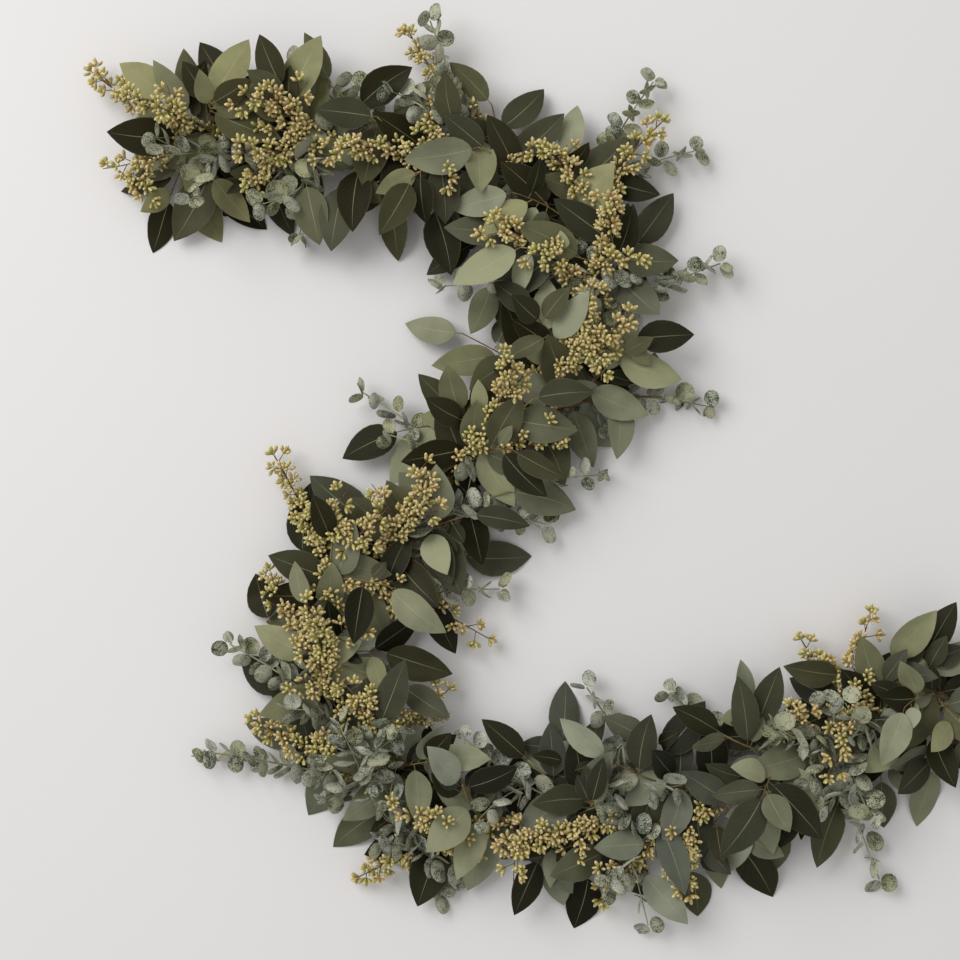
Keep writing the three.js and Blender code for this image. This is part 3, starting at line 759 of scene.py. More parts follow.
def read_coins(branch):
    branch.coins = []
    item = 0
    for twig in branch.twigs:
        pairs = max(round(twig_length(twig) * (1 - COIN_FIRST) / COIN_SPACING), 1)
        for pair in range(pairs + 1):
            place = between(COIN_FIRST, 1, pair / pairs)
            root, heading = twig_at(twig, place)
            sway = between(-PAIR_SWAY, PAIR_SWAY, chance(branch.number, item, 1))
            turn = pair * PAIR_TURN + sway
            for half in (0, 180) if pair < pairs else (0,):
                lean = math.radians(between(*COIN_LEANS, chance(branch.number, item, 2)))
                size = between(0.9, 1.1, chance(branch.number, item, 3))
                radius = between(*COIN_RADII, pair / pairs) * size
                ways = (coin_from(root, heading, turn + half + extra, lean, radius)
                        for extra in COIN_TURNS)
                coin = next((way for way in ways if coin_is_there(branch.tree, way)), None)
                if coin:
                    coin.shift = curve_point(twig, place) - root
                    branch.coins.append(coin)
                item += 1


def read_buds(branch):
    branch.buds = []
    for twig in branch.twigs:
        count = round(twig_length(twig) * (1 - BUD_FIRST) / BUD_SPACING)
        for bud in range(count + 1):
            place = between(BUD_FIRST, 1, bud / count)
            root, heading = twig_at(twig, place)
            lean = math.radians(LAST_BUD_LEAN if bud == count else BUD_LEAN)
            for extra in BUD_TURNS:
                sideways = turned_about(heading, bud * GOLDEN_ANGLE + extra)
                outward = heading * math.cos(lean) + sideways * math.sin(lean)
                if has_corner(branch.tree, root + outward * BUD_LENGTH):
                    root = curve_point(twig, place)
                    branch.buds.append(SimpleNamespace(root=root, outward=outward))
                    break


for branch in coined:
    read_coins(branch)
for branch in seeded:
    read_buds(branch)
print("round leaves:", sum(len(branch.coins) for branch in coined))
print("buds:", sum(len(branch.buds) for branch in seeded))

# %% [markdown]
# ## Patterns for what repeats
# A leaf, a round leaf, a bud and a stalk are each made once, in a size of one, and then bent
# into every place. A pattern has only a few dozen faces, because it is used hundreds of times.

# %% A pattern and its mesh
TINY = 1e-4


class Pattern:
    """A small closed mesh that is copied into many places."""

    def __init__(self, name, shape):
        bmesh.ops.recalc_face_normals(shape, faces=shape.faces[:])
        self.mesh = bpy.data.meshes.new(name)
        shape.to_mesh(self.mesh)
        shape.free()
        self.points = [vertex.co.copy() for vertex in self.mesh.vertices]
        self.faces = [tuple(face.vertices) for face in self.mesh.polygons]


def new_shape():
    shape = bmesh.new()
    shape.verts.layers.float_color.new("tint")
    shape.loops.layers.uv.new("UVMap")
    return shape


def sharpen_rim(shape):
    """Keeps the shading of a leaf's two sides apart at its rim."""
    for edge in shape.edges:
        edge.smooth = max(abs(vert.co.z) for vert in edge.verts) > TINY


def mark(shape, rule):
    """Writes a rule's number for each corner into the third part of its tint."""
    layer = shape.verts.layers.float_color["tint"]
    for vert in shape.verts:
        vert[layer] = (0, 0, rule(vert.co), 1)


# %% [markdown]
# The blade starts as a grid of four by ten squares. Each row is drawn in to the leaf's
# outline, widest below the middle and pointed at the tip. A second sheet under it is welded
# to it round the edge, which gives a closed blade that is thin at the rim.

# %% Pointed leaf
BLADE_OUTLINE = (
    (0, 0), (0.045, 0.34), (0.12, 0.64), (0.23, 0.89), (0.36, 1), (0.49, 0.98),
    (0.62, 0.87), (0.74, 0.69), (0.85, 0.44), (0.93, 0.22), (1, 0),
)


def pointed_leaf_pattern():
    shape = new_shape()
    rows = len(BLADE_OUTLINE) - 1
    bmesh.ops.create_grid(shape, x_segments=4, y_segments=rows, size=0.5, calc_uvs=True)
    for vert in shape.verts:
        place, half = BLADE_OUTLINE[round((vert.co.y + 0.5) * rows)]
        vert.co = (vert.co.x * 2 * half, place, 0 if vert.is_boundary else 1)
    sheet = shape.verts[:] + shape.edges[:] + shape.faces[:]
    twin = bmesh.ops.duplicate(shape, geom=sheet)["geom"]
    for item in twin:
        if isinstance(item, bmesh.types.BMVert):
            item.co.z *= -1
    bmesh.ops.remove_doubles(shape, verts=shape.verts[:], dist=TINY)
    sharpen_rim(shape)
    mark(shape, lambda place: max(-place.z, 0))
    return Pattern("pointed_leaf", shape)


pointed_leaf = pointed_leaf_pattern()


# %% [markdown]
# The round leaf is a ball pressed flat, which is closed already. Its outline is a little
# wider than long, with a shallow notch where it sits on the twig.
# The bud is a profile spun round its axis: a thin stalk that swells into a club.

# %% Round leaf, bud and stalk
ROUND_WIDENING, ROUND_NOTCH = 0.05, 0.09
BUD_PROFILE = (
    (0, 0), (0.45, 2.9), (1.35, 4.7), (1.98, 6.8), (1.8, 8.6), (0.85, 10.4), (0, 11),
)
BUD_SIDES = 6
STALK_SIDES = 5


def round_leaf_pattern():
    shape = new_shape()
    bmesh.ops.create_uvsphere(shape, u_segments=12, v_segments=6, radius=1)
    for vert in shape.verts:
        turn = math.atan2(vert.co.y, vert.co.x)
        swell = 1 + ROUND_WIDENING * math.cos(2 * turn + math.pi)
        swell -= ROUND_NOTCH * max(-math.cos(turn), 0) ** 6
        vert.co.x *= swell
        vert.co.y *= swell
    sharpen_rim(shape)
    mark(shape, lambda place: min(math.hypot(place.x, place.y), 1))
    return Pattern("round_leaf", shape)


def bud_pattern():
    shape = new_shape()
    corners = [shape.verts.new((radius, 0, height)) for radius, height in BUD_PROFILE]
    edges = [shape.edges.new(pair) for pair in zip(corners, corners[1:])]
    bmesh.ops.spin(
        shape, geom=corners + edges, axis=UP, cent=(0, 0, 0),
        steps=BUD_SIDES, angle=2 * math.pi, use_merge=True,
    )
    bmesh.ops.remove_doubles(shape, verts=shape.verts[:], dist=TINY)
    mark(shape, lambda place: place.z / BUD_LENGTH)
    return Pattern("bud", shape)


def stalk_pattern():
    """A rod of one along Z with a radius of one, cut into three."""
    shape = new_shape()
    bmesh.ops.create_cone(
        shape, cap_ends=True, segments=STALK_SIDES, radius1=1, radius2=1, depth=1,
    )
    bmesh.ops.translate(shape, vec=(0, 0, 0.5), verts=shape.verts[:])
    upright = [edge for edge in shape.edges if edge.verts[0].co.z != edge.verts[1].co.z]
    bmesh.ops.subdivide_edges(shape, edges=upright, cuts=2)
    return Pattern("stalk", shape)


round_leaf = round_leaf_pattern()
bud_shape = bud_pattern()
stalk = stalk_pattern()
print("faces:", [len(pattern.faces) for pattern in (pointed_leaf, round_leaf, bud_shape, stalk)])


# %% [markdown]
# ## A piece of the garland
# Each branch becomes one piece that replaces its solid. Patterns and rods are poured into
# one mesh, and every corner gets the shade and warmth of its leaf.

# %% Pieces and rods
ROD_SIDES = 6
PLAIN_TINT = (0.5, 0.5)


class Piece:
    """One branch, the cord or the wire while it is being filled."""

    def __init__(self, name, *finishes):
        self.name = name
        self.finishes = finishes
        self.shape = new_shape()

    def add(self, mesh, points, tint, part):
        first_vert, first_face = len(self.shape.verts), len(self.shape.faces)
        self.shape.from_mesh(mesh)
        self.shape.verts.ensure_lookup_table()
        self.shape.faces.ensure_lookup_table()
        layer = self.shape.verts.layers.float_color["tint"]
        for vert, point in zip(self.shape.verts[first_vert:], points):
            vert.co = point * MM
            vert[layer] = (*tint, vert[layer][2], 1)
        for face in self.shape.faces[first_face:]:
            face.material_index = part
            face.smooth = True

    def finish(self, slot, node):
        mesh = bpy.data.meshes.new(self.name)
        self.shape.to_mesh(mesh)
        self.shape.free()
        for material in self.finishes:
            mesh.materials.append(material)
        piece = put(self.name, mesh)
        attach(piece, "root")
        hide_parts(node)
        return len(mesh.polygons)


def rod_frames(points, radii):
    """The place, turn and size of a rod's ring at each point, with no twist between them."""
    frames = []
    runs = [(end - start).normalized() for start, end in zip(points, points[1:])]
    heading = runs[0]
    turn = heading.to_track_quat("Z", "Y")
    for point, radius, before, after in zip(points, radii, runs[:1] + runs, runs + runs[-1:]):
        ahead = (before + after).normalized()
        turn = heading.rotation_difference(ahead) @ turn
        heading = ahead
        frames.append(Matrix.LocRotScale(point, turn, Vector((radius, radius, radius))))
    return frames


def rod(points, radii, sides):
    """A circle that is extruded from point to point and closed at both ends."""
    shape = new_shape()
    frames = rod_frames(points, radii)
    bmesh.ops.create_circle(shape, radius=1, segments=sides, matrix=frames[0])
    ring = shape.edges[:]
    for before, after in zip(frames, frames[1:]):
        grown = bmesh.ops.extrude_edge_only(shape, edges=ring)["geom"]
        verts = {item for item in grown if isinstance(item, bmesh.types.BMVert)}
        edges = [item for item in grown if isinstance(item, bmesh.types.BMEdge)]
        ring = [edge for edge in edges if verts.issuperset(edge.verts)]
        bmesh.ops.transform(shape, matrix=after @ before.inverted(), verts=list(verts))
    bmesh.ops.holes_fill(shape, edges=shape.edges[:], sides=sides)
    return Pattern(f"rod_{len(points)}", shape)


# %% [markdown]
# ## Cord and binding wire
# The leaves hide nearly all of the cord. It is three strands laid round each other, which
# is how jute cord is made. The wire goes once round the cord and the twigs at every tie and
# runs on under the cord to the next one.

# %% Jute cord
STRANDS = 3
STRAND_RADIUS = 1.75
LAY_RADIUS = 1.7
LAY_LENGTH = 24.0
LAY_STEPS = 9
AHEAD_STEP = 0.01


def cord_strand(strand):
    steps = round(cord_length / LAY_LENGTH * LAY_STEPS)
    points = []
    for step in range(steps + 1):
        place = step / steps * (len(CORD_POINTS) - 1)
        ahead = (cord_at(place + AHEAD_STEP) - cord_at(place - AHEAD_STEP)).normalized()
        turn = 2 * math.pi * (step / LAY_STEPS + strand / STRANDS)
        aside = UP.cross(ahead) * math.cos(turn) + UP * math.sin(turn)
        points.append(cord_at(place) + aside * LAY_RADIUS)
    return rod(points, [STRAND_RADIUS] * len(points), ROD_SIDES)


cord_piece = Piece("jute_cord", jute)
for strand in range(STRANDS):
    made = cord_strand(strand)
    cord_piece.add(made.mesh, made.points, PLAIN_TINT, 0)
print("cord faces:", cord_piece.finish("jute", "cord"))

# %% Binding wire
WIRE_RADIUS = 0.6
LOOP_RADIUS = 9.1
LOOP_STEPS = 14
LOOP_ADVANCE = 2.2
RUN_DEPTH = 4.6


def wire_points():
    points = []
    for index, place in enumerate(tie_places):
        tie = tie_at(place, True)
        for step in range(LOOP_STEPS + 1):
            angle = 2 * math.pi * step / LOOP_STEPS - math.pi / 2
            advance = LOOP_ADVANCE * (step / LOOP_STEPS - 0.5)
            side = tie.across * math.cos(angle) + UP * math.sin(angle)
            points.append(tie.centre + tie.along * advance + side * LOOP_RADIUS)
        if index + 1 < len(tie_places):
            points.append(cord_at((place + tie_places[index + 1]) / 2) - UP * RUN_DEPTH)
    return points


wire_line = wire_points()
made = rod(wire_line, [WIRE_RADIUS] * len(wire_line), ROD_SIDES)
wire_piece = Piece("binding_wire", green_lacquer)
wire_piece.add(made.mesh, made.points, PLAIN_TINT, 0)
print("wire faces:", wire_piece.finish("binding_wire", "wire"))


# %% [markdown]
# ## Room for more
# The solids hold the larger leaves only. Real branches carry smaller ones between them, so
# more are tried here, each in several ways, and one is kept only where it cuts through no
# twig and no leaf that has its place already. Trees of triangles answer that quickly. The
# buds aren't in that company, because the buds of a spray may touch.

# %% What has its place already
CEILING = 93
MOST_MEMBERS = 6000
FAR = 1e9
SEED = 2718


class Company:
    """Everything that has its place, so that a new leaf keeps clear of it."""

    def __init__(self, most):
        self.lows = numpy.full((most, 3), FAR)
        self.highs = numpy.full((most, 3), -FAR)
        self.trees = []
        self.owners = []

    def is_free(self, points, faces, owner):
        """The new piece's tree if it touches nothing, apart from its owner's twigs."""
        places = numpy.array(points)
        low, high = places.min(axis=0), places.max(axis=0)
        if high[2] > CEILING:
            return None
        near = numpy.nonzero(((self.lows < high) & (self.highs > low)).all(axis=1))[0]
        tree = BVHTree.FromPolygons(points, faces)
        for index in near:
            if self.owners[index] != owner and tree.overlap(self.trees[index]):
                return None
        return tree

    def join(self, points, faces, owner, tree=None):
        places = numpy.array(points)
        index = len(self.trees)
        self.lows[index], self.highs[index] = places.min(axis=0), places.max(axis=0)
        self.trees.append(tree or BVHTree.FromPolygons(points, faces))
        self.owners.append(owner)


company = Company(MOST_MEMBERS)
luck = random.Random(SEED)

# %% Fine twigs
TWIG_STEPS = 10
LOOKS = {
    "leaf": ("leafy", (waxy_leaf, leaf_twig), "leaf_green", (1.6, 0.8, 0.9, 0.6)),
    "seed": ("budded", (ochre_bud, bud_twig), "bud_ochre", (1.5, 0.7, 0.85, 0.5)),
    "coin": ("round_leaved", (powdery_leaf, round_leaf_twig), "coin_blue", (1.5, 0.8, 0.85, 0.6)),
}


def add_twigs(branch, taper):
    for twig in branch.twigs:
        line = [curve_point(twig, step / TWIG_STEPS) for step in range(TWIG_STEPS + 1)]
        base, end = taper[:2] if twig.is_main else taper[2:]
        if twig.is_main:
            line.insert(0, twig.stem[0])
        radii = [between(base, end, index / (len(line) - 1)) for index in range(len(line))]
        made = rod(line, radii, ROD_SIDES)
        branch.piece.add(made.mesh, made.points, (luck.random(), 0.5), 1)
        company.join(made.points, made.faces, branch.number)


for branch in branches:
    name, finishes, branch.slot, taper = LOOKS[branch.kind]
    branch.piece = Piece(f"{name}_branch_{branch.index + 1:02d}", *finishes)
    add_twigs(branch, taper)
print("twigs placed:", len(company.trees))

# %% [markdown]
# ## Bending a leaf into place
# Every corner of the pattern is carried along the leaf's middle line: it droops towards the
# tip, folds a little along the midrib and waves at the edge. A stalk runs on from the twig
# under the blade.

# %% Leaf shapes
LOWEST = 0.15


def bent(pattern, rule, half=0.0):
    """A pattern's corners where a rule puts them, with none of them below the table."""
    points = []
    for corner in pattern.points:
        point = rule(corner)
        point.z = max(point.z, LOWEST + (corner.z + 1) * half)
        points.append(point)
    return points


NECK = 6.0
STALK_OVERLAP = 2
BLADE_HALF = 0.34
BLADE_RISE = 0.6
STALK_RADII = (0.62, 0.372)
WAVE_TURNS = 9
PAINTED_SHADE_HEIGHT = 60
SHADES = (0.0, 0.03, 0.09, 0.18, 0.34, 0.62, 1.0)
WARMTHS = (
    0.8, 0.75, 0.7, 0.6, 0.6, 0.55, 0.55, 0.65, 0.55, 0.6,
    0.5, 0.4, 0.3, 0.22, 0.22, 0.4, 0.5, 0.5, 0.55,
)


def dress_leaf(leaf, bunch):
    leaf.slim = luck.uniform(0.88, 1.04)
    leaf.fold = luck.uniform(-0.05, 0.3)
    leaf.wave = luck.uniform(0.2, 1.1)
    leaf.phase = luck.uniform(0, 2 * math.pi)
    leaf.sway = luck.uniform(-0.05, 0.05)
    # Painted shade: a leaf's shade is scaled by the height of its middle, from half at the table to
    # a quarter more at the top of the bunch, so that leaves deep in the bunch look shaded.
    depth = between(0.5, 1.25, min(middle_at(leaf, leaf.length / 2).z / PAINTED_SHADE_HEIGHT, 1))
    shade = luck.choice(SHADES) * luck.uniform(0.75, 1.2) * depth + luck.uniform(0, 0.03)
    leaf.tint = (min(shade, 1), clamped(WARMTHS[bunch] + luck.uniform(-0.3, 0.3)))
    return leaf


def leaf_middle(leaf, distance):
    share = distance / leaf.length
    sway = leaf.sway * leaf.length * 4 * share * (1 - share)
    return middle_at(leaf, distance) + leaf.shift * (1 - share) + leaf.across * sway


def blade_points(leaf):
    def place(corner):
        aside = corner.x * leaf.width / 2 * leaf.slim
        rise = BLADE_RISE + corner.z * BLADE_HALF + leaf.fold * abs(aside)
        rise += leaf.wave * math.sin(corner.y * WAVE_TURNS + leaf.phase) * corner.x**2
        middle = leaf_middle(leaf, between(NECK, leaf.length, corner.y))
        return middle + leaf.across * aside + leaf.face * rise
    return bent(pointed_leaf, place, BLADE_HALF)


def stalk_points(leaf):
    def place(corner):
        middle = leaf_middle(leaf, between(0, NECK + STALK_OVERLAP, corner.z))
        aside = (leaf.across * corner.x + leaf.face * corner.y) * between(*STALK_RADII, corner.z)
        return middle + leaf.face * BLADE_RISE * corner.z + aside
    return bent(stalk, place)


def add_leaf(branch, leaf, tree=None, points=None):
    points = points or blade_points(leaf)
    branch.piece.add(pointed_leaf.mesh, points, leaf.tint, 0)
    branch.piece.add(stalk.mesh, stalk_points(leaf), leaf.tint[::-1], 1)
    company.join(points, pointed_leaf.faces, "leaf", tree)
    first = len(roof_points)
    roof_points.extend(points)
    roof_faces.extend(tuple(first + corner for corner in face) for face in pointed_leaf.faces)


roof_points, roof_faces = [], []
for branch in leafy:
    for leaf in branch.leaves:
        add_leaf(branch, dress_leaf(leaf, branch.index))
print("leaves placed:", sum(len(branch.leaves) for branch in leafy))

# %% [markdown]
# ## What the large leaves leave open
# From above, buds and round leaves lie on top of the pointed ones. So each of them is tried in
# several directions, and one with nothing but sky above it is taken first. A ray that is cast
# straight up against all the leaves tells.

# %% Open sky
HEADING_STEP = 0.02
roof = BVHTree.FromPolygons(roof_points, roof_faces)
spot_points, spot_faces = [], []
cord_samples = cord_line[:: LINE_STEPS // 2]


def is_open(point):
    return roof.ray_cast(point, UP)[0] is None


def is_near_cord(point, reach):
    return any((point.xy - sample.xy).length < reach for sample in cord_samples)


def heading_at(twig, place):
    ahead = curve_point(twig, min(place + HEADING_STEP, 1))
    return (ahead - curve_point(twig, place - HEADING_STEP)).normalized()


def mark_spot(centre, radius):
    """Marks a round leaf or an umbel that later leaves shouldn't hide."""
    first = len(spot_points)
    for x, y in ((1, 0), (0, 1), (-1, 0), (0, -1)):
        spot_points.append(centre + Vector((x, y, 0)) * radius)
    spot_faces.append((first, first + 1, first + 2, first + 3))


print("roof faces:", len(roof_faces))

# %% [markdown]
# ## Side shoots
# The solid holds the main twigs of a branch only. Thinner shoots leave them on both sides and
# rise between the leaves towards the light. A shoot is kept if it touches no leaf and most of
# it lies in the open.

# %% Side shoots
SHOOT_PLACES = {"coin": (0.28, 0.45, 0.62, 0.8), "seed": (0.36, 0.6, 0.82)}
SHOOT_TRIES = 14
SHOOT_STEPS = 6
SHOOT_REACH = 70
SHOOT_ANGLES = (14, 62)
SHOOT_LENGTHS = (30, 66)
SHOOT_RISES = (-4, 30)
SHOOT_HEIGHTS = (8, 74)
SHOOT_RADII = (0.8, 0.45)
SHOOT_SIDES = 5
SHOOT_OPEN = 4


def shoot_way(twig, place, side):
    """One way a shoot could grow, out to one side and upwards."""
    start, heading = curve_point(twig, place), heading_at(twig, place)
    level = Vector((heading.x, heading.y, 0)).normalized()
    angle = math.radians(luck.uniform(*SHOOT_ANGLES)) * side
    outward = Matrix.Rotation(angle, 3, "Z") @ level
    length, rise = luck.uniform(*SHOOT_LENGTHS), luck.uniform(*SHOOT_RISES)
    tip = start + outward * length + UP * rise
    tip.z = clamped(tip.z, *SHOOT_HEIGHTS)
    control = start + heading * length * 0.4 + UP * max(rise, 0) * 0.8
    shoot = SimpleNamespace(start=start, control=control, tip=tip)
    shoot.points = [curve_point(shoot, step / SHOOT_STEPS) for step in range(SHOOT_STEPS + 1)]
    return shoot


def add_shoot(branch, twig, place, side):
    radii = [between(*SHOOT_RADII, step / SHOOT_STEPS) for step in range(SHOOT_STEPS + 1)]
    for _ in range(SHOOT_TRIES):
        shoot = shoot_way(twig, place, side)
        open_points = sum(is_open(point) for point in shoot.points)
        if open_points < SHOOT_OPEN or not is_near_cord(shoot.tip, SHOOT_REACH):
            continue
        made = rod(shoot.points, radii, SHOOT_SIDES)
        tree = company.is_free(made.points, made.faces, branch.number)
        if tree:
            branch.piece.add(made.mesh, made.points, (luck.random(), 0.5), 1)
            company.join(made.points, made.faces, branch.number, tree)
            branch.shoots.append(shoot)
            return


for branch in coined + seeded:
    branch.shoots = []
    for twig in branch.twigs:
        for step, place in enumerate(SHOOT_PLACES[branch.kind]):
            add_shoot(branch, twig, place, 1 if step % 2 == 0 else -1)
for kind, group in (("round-leaved", coined), ("budded", seeded)):
    print(kind, "shoots:", sum(len(branch.shoots) for branch in group))

# %% [markdown]
# ## Round leaves in pairs
# Baby blue eucalyptus grows its round leaves in opposite pairs, each pair square to the last
# and smaller towards the tip. The solid holds every fifth pair or so. Here each twig gets
# the pairs between them as well.

# %% Round leaf shapes
COIN_HALF = 0.3
COIN_SEAT = 0.7
PAIR_SPACING = 12.0
EXTRA_COIN_FIRST = 0.1
EXTRA_COIN_LEANS = (12, 42)
EXTRA_COIN_CUPS = (0.45, 0.9)
EXTRA_COIN_RADII = (13, 9)
COIN_WAYS = (
    (0, 1), (25, 1), (-25, 1), (50, 0.95), (-50, 0.95), (0, 0.8), (80, 0.8), (-80, 0.8), (30, 0.65),
)


def dress_coin(coin, bunch):
    coin.cup = luck.uniform(0.1, 0.32)
    coin.wave = luck.uniform(0.02, 0.09)
    coin.phase = luck.uniform(0, 2 * math.pi)
    shade = luck.uniform(0.15, 1)
    coin.tint = (shade, clamped(WARMTHS[bunch] * 0.7 + luck.uniform(-0.35, 0.4)))
    return coin


def coin_points(coin):
    centre = coin.root + coin.shift + coin.outward * (coin.radius + COIN_SEAT)

    def place(corner):
        reach = math.hypot(corner.x, corner.y)
        wave = coin.wave * math.sin(3 * math.atan2(corner.y, corner.x) + coin.phase)
        rise = (coin.cup * reach**2 + wave * reach**2) * coin.radius
        rise += corner.z * COIN_HALF - coin.cup * coin.radius
        aside = (coin.outward * corner.x + coin.across * corner.y) * coin.radius
        return centre + aside + coin.face * rise
    return bent(round_leaf, place, COIN_HALF)


def add_coin(branch, coin, points, tree=None):
    branch.piece.add(round_leaf.mesh, points, coin.tint, 0)
    company.join(points, round_leaf.faces, "coin", tree)
    mark_spot(coin.root + coin.outward * coin.radius, coin.radius * 0.8)


def add_extra_coin(branch, twig, place, turn, radius):
    """One more round leaf where there is room, in the open if there is a way."""
    root, heading = curve_point(twig, place), heading_at(twig, place)
    hidden = None
    for extra, size in COIN_WAYS:
        lean = math.radians(luck.uniform(*EXTRA_COIN_LEANS))
        cup_share = luck.uniform(*EXTRA_COIN_CUPS)
        coin = coin_from(root, heading, turn + extra, lean, radius * size, cup_share)
        coin.shift = Vector()
        points = coin_points(dress_coin(coin, branch.index))
        tree = company.is_free(points, round_leaf.faces, branch.number)
        if tree and is_open(root + coin.outward * coin.radius):
            add_coin(branch, coin, points, tree)
            return 1
        if tree and hidden is None:
            hidden = (coin, points, tree)
    if hidden:
        add_coin(branch, *hidden)
    return int(hidden is not None)


def add_extra_coins(branch, twig):
    count = round(twig_length(twig) * (1 - EXTRA_COIN_FIRST) / PAIR_SPACING)
    added = 0
    for pair in range(count + 1):
        share = pair / count
        turn = pair * PAIR_TURN + luck.uniform(-PAIR_SWAY, PAIR_SWAY)
        for half in (0, 180):
            radius = between(*EXTRA_COIN_RADII, share) * luck.uniform(0.85, 1.12)
            place = between(EXTRA_COIN_FIRST, 1, share)
            added += add_extra_coin(branch, twig, place, turn + half, radius)
    return added


for branch in coined:
    for coin in branch.coins:
        add_coin(branch, coin, coin_points(dress_coin(coin, branch.index)))
extra_coins = sum(
    add_extra_coins(branch, twig) for branch in coined for twig in branch.twigs + branch.shoots
)
print("more round leaves:", extra_coins)

# %% [markdown]
# ## Sprays of buds
# The buds sit in umbels of up to seven, like the spokes of an umbrella, on short stalks all
# round the twig. Every bud of the solid is the middle one of such an umbel, and more umbels
# are set between them, on stalks of their own that reach for the light.

# %% Umbels
SPOKES = 6
SPOKE_LEANS = (38, 64)
BUD_SIZES = (0.78, 1)
UMBEL_SPACINGS = (4.8, 7)
UMBEL_TRIES = 10
UMBEL_TURN = 52
UMBEL_LEANS = (40, 75)
UMBEL_REACHES = (3, 12)
UMBEL_STRETCH = 1.2
UMBEL_STALK_RADII = (0.55, 0.4)
UMBEL_PLACES = (0.15, 0.99)
UMBEL_MIDDLE = 6
LEAST_BUDS = 4
SPOT_RADIUS = 9
BUD_HEIGHTS = (2.2, 82)


def frame_for(outward):
    return outward.to_track_quat("Z", "Y").to_matrix()


def bud_points(branch, root, outward, size):
    """A bud's corners if it has room."""
    turn = frame_for(outward)
    points = [root + turn @ (corner * size) for corner in bud_shape.points]
    has_room = min(point.z for point in points) > LOWEST
    return points if has_room and company.is_free(points, bud_shape.faces, branch.number) else None


def umbel_buds(branch, root, outward):
    """The buds of an umbel that have room: one along its stalk and a ring of spokes."""
    turn = frame_for(outward)
    buds = [bud_points(branch, root, outward, 1)]
    start = luck.uniform(0, 360)
    for spoke in range(SPOKES):
        lean = math.radians(luck.uniform(*SPOKE_LEANS))
        round_by = math.radians(start + spoke * 360 / SPOKES + luck.uniform(-14, 14))
        aside, ahead = math.sin(lean), math.cos(lean)
        way = Vector((aside * math.cos(round_by), aside * math.sin(round_by), ahead))
        buds.append(bud_points(branch, root, turn @ way, luck.uniform(*BUD_SIZES)))
    return [bud for bud in buds if bud]


def add_umbel(branch, root, end, outward, buds):
    warmth = luck.random()
    for bud in buds:
        tint = (luck.uniform(0.1, 1), clamped(warmth + luck.uniform(-0.3, 0.3)))
        branch.piece.add(bud_shape.mesh, bud, tint, 0)
    mark_spot(end + outward * UMBEL_MIDDLE, SPOT_RADIUS)
    if (end - root).length > 1:
        turn = frame_for(outward)

        def place(corner):
            aside = turn @ Vector((corner.x, corner.y, 0))
            return root.lerp(end, corner.z) + aside * between(*UMBEL_STALK_RADII, corner.z)
        branch.piece.add(stalk.mesh, bent(stalk, place), (luck.random(), 0.5), 1)
    return len(buds)


def add_extra_umbel(branch, twig, place, umbel):
    root, heading = curve_point(twig, place), heading_at(twig, place)
    hidden = None
    for attempt in range(UMBEL_TRIES):
        sideways = turned_about(heading, umbel * GOLDEN_ANGLE + attempt * UMBEL_TURN)
        sideways.z = abs(sideways.z) * 0.8 + 0.15
        lean = math.radians(luck.uniform(*UMBEL_LEANS))
        outward = (heading * math.cos(lean) + sideways * math.sin(lean)).normalized()
        end = root + outward * (luck.uniform(*UMBEL_REACHES) + attempt * UMBEL_STRETCH)
        if not BUD_HEIGHTS[0] < end.z < BUD_HEIGHTS[1]:
            continue
        if is_open(end + outward * UMBEL_MIDDLE) or attempt == UMBEL_TRIES - 1:
            buds = umbel_buds(branch, end, outward)
            if len(buds) >= LEAST_BUDS:
                return add_umbel(branch, root, end, outward, buds)
            if buds and (hidden is None or len(buds) > len(hidden[-1])):
                hidden = (root, end, outward, buds)
    return add_umbel(branch, *hidden) if hidden else 0


def add_extra_umbels(branch, twig, spacing):
    count = round(twig_length(twig) * (1 - UMBEL_PLACES[0]) / spacing)
    return sum(
        add_extra_umbel(branch, twig, between(*UMBEL_PLACES, umbel / count), umbel)
        for umbel in range(count)
    )


first_buds = more_buds = 0
for branch in seeded:
    for bud in branch.buds:
        buds = umbel_buds(branch, bud.root, bud.outward)
        first_buds += add_umbel(branch, bud.root, bud.root, bud.outward, buds)
    for stems, spacing in zip((branch.twigs, branch.shoots), UMBEL_SPACINGS):
        more_buds += sum(add_extra_umbels(branch, stem, spacing) for stem in stems)
print("buds placed:", first_buds, "and", more_buds)

# %% [markdown]
# ## Smaller leaves between the large ones
# Each leafy twig gets more leaves on both sides, and one at its tip if that is still bare.
# Each is tried at several turns, the larger sizes first, and a leaf that would hide buds or
# round leaves is passed over.

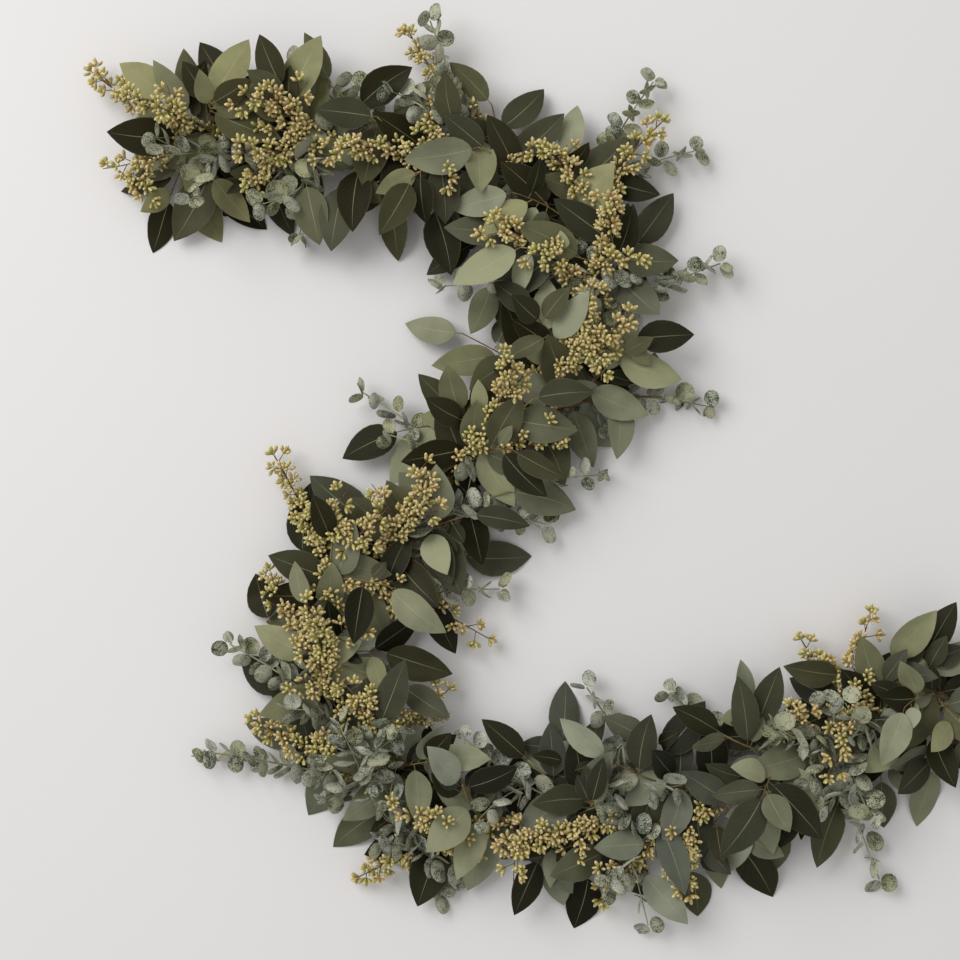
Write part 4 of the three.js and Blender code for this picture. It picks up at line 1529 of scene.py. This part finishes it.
# %% Smaller leaves
EXTRA_PLACES = (0.94, 0.86, 0.76, 0.66, 0.55, 0.43, 0.3, 0.18)
EXTRA_SIZES = (1, 1, 0.9, 0.85, 0.8, 0.7, 0.6, 0.5)
EXTRA_LENGTHS = (50, 72)
EXTRA_WIDTHS = (0.44, 0.58)
EXTRA_PITCHES, EXTRA_ROLLS = (-16, 40), (-40, 40)
MOST_HIDDEN = 4
EXTRA_REACH = 80
END_REACH = 170
SIDE_TURNS = ((15, 95), (-95, -15))
END_TURNS = (-30, 30)
spots = BVHTree.FromPolygons(spot_points, spot_faces)


def hides_spots(points):
    """Whether more than a few corners of a leaf lie over buds or round leaves."""
    hidden = sum(spots.ray_cast(point, -UP)[0] is not None for point in points[::3])
    return hidden > MOST_HIDDEN


def extra_leaf(branch, twig, place, turn, size):
    heading = heading_at(twig, place)
    length = luck.uniform(*EXTRA_LENGTHS) * size
    leaf = SimpleNamespace(root=curve_point(twig, place), length=length, shift=Vector())
    leaf.width = length * luck.uniform(*EXTRA_WIDTHS)
    leaf.bend = luck.uniform(*LEAF_BENDS)
    bearing = math.atan2(heading.y, heading.x) + turn
    pitch, roll = (math.radians(luck.uniform(*span)) for span in (EXTRA_PITCHES, EXTRA_ROLLS))
    leaf_axes(leaf, bearing, pitch, roll)
    return dress_leaf(leaf, branch.index)


def add_extra_leaf(branch, twig, place, turns, reach):
    for size in EXTRA_SIZES:
        leaf = extra_leaf(branch, twig, place, math.radians(luck.uniform(*turns)), size)
        points = blade_points(leaf)
        fits = is_near_cord(middle_at(leaf, leaf.length), reach) and not hides_spots(points)
        tree = company.is_free(points, pointed_leaf.faces, branch.number) if fits else None
        if tree:
            add_leaf(branch, leaf, tree, points)
            return 1
    return 0


end_leaves = sum(
    add_extra_leaf(branch, twig, 1, END_TURNS, END_REACH)
    for branch in leafy for twig in branch.twigs if twig.is_bare
)
extra_leaves = sum(
    add_extra_leaf(branch, twig, place, turns, EXTRA_REACH)
    for branch in leafy for twig in branch.twigs
    for place in EXTRA_PLACES for turns in SIDE_TURNS
)
print("leaves at bare tips:", end_leaves, "and between:", extra_leaves)

# %% [markdown]
# ## Finished pieces
# Every branch turns into an object now, in the place of its solid.

# %% Close the branches
faces = sum(branch.piece.finish(branch.slot, branch.node) for branch in branches)
print("faces of all branches:", faces)

# %% Size of the dressed garland, and the end
boxes = {"cad": cad_box, "visual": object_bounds()}
sizes = {name: [list(corner) for corner in box] for name, box in boxes.items()}
print("boxes:", sizes)
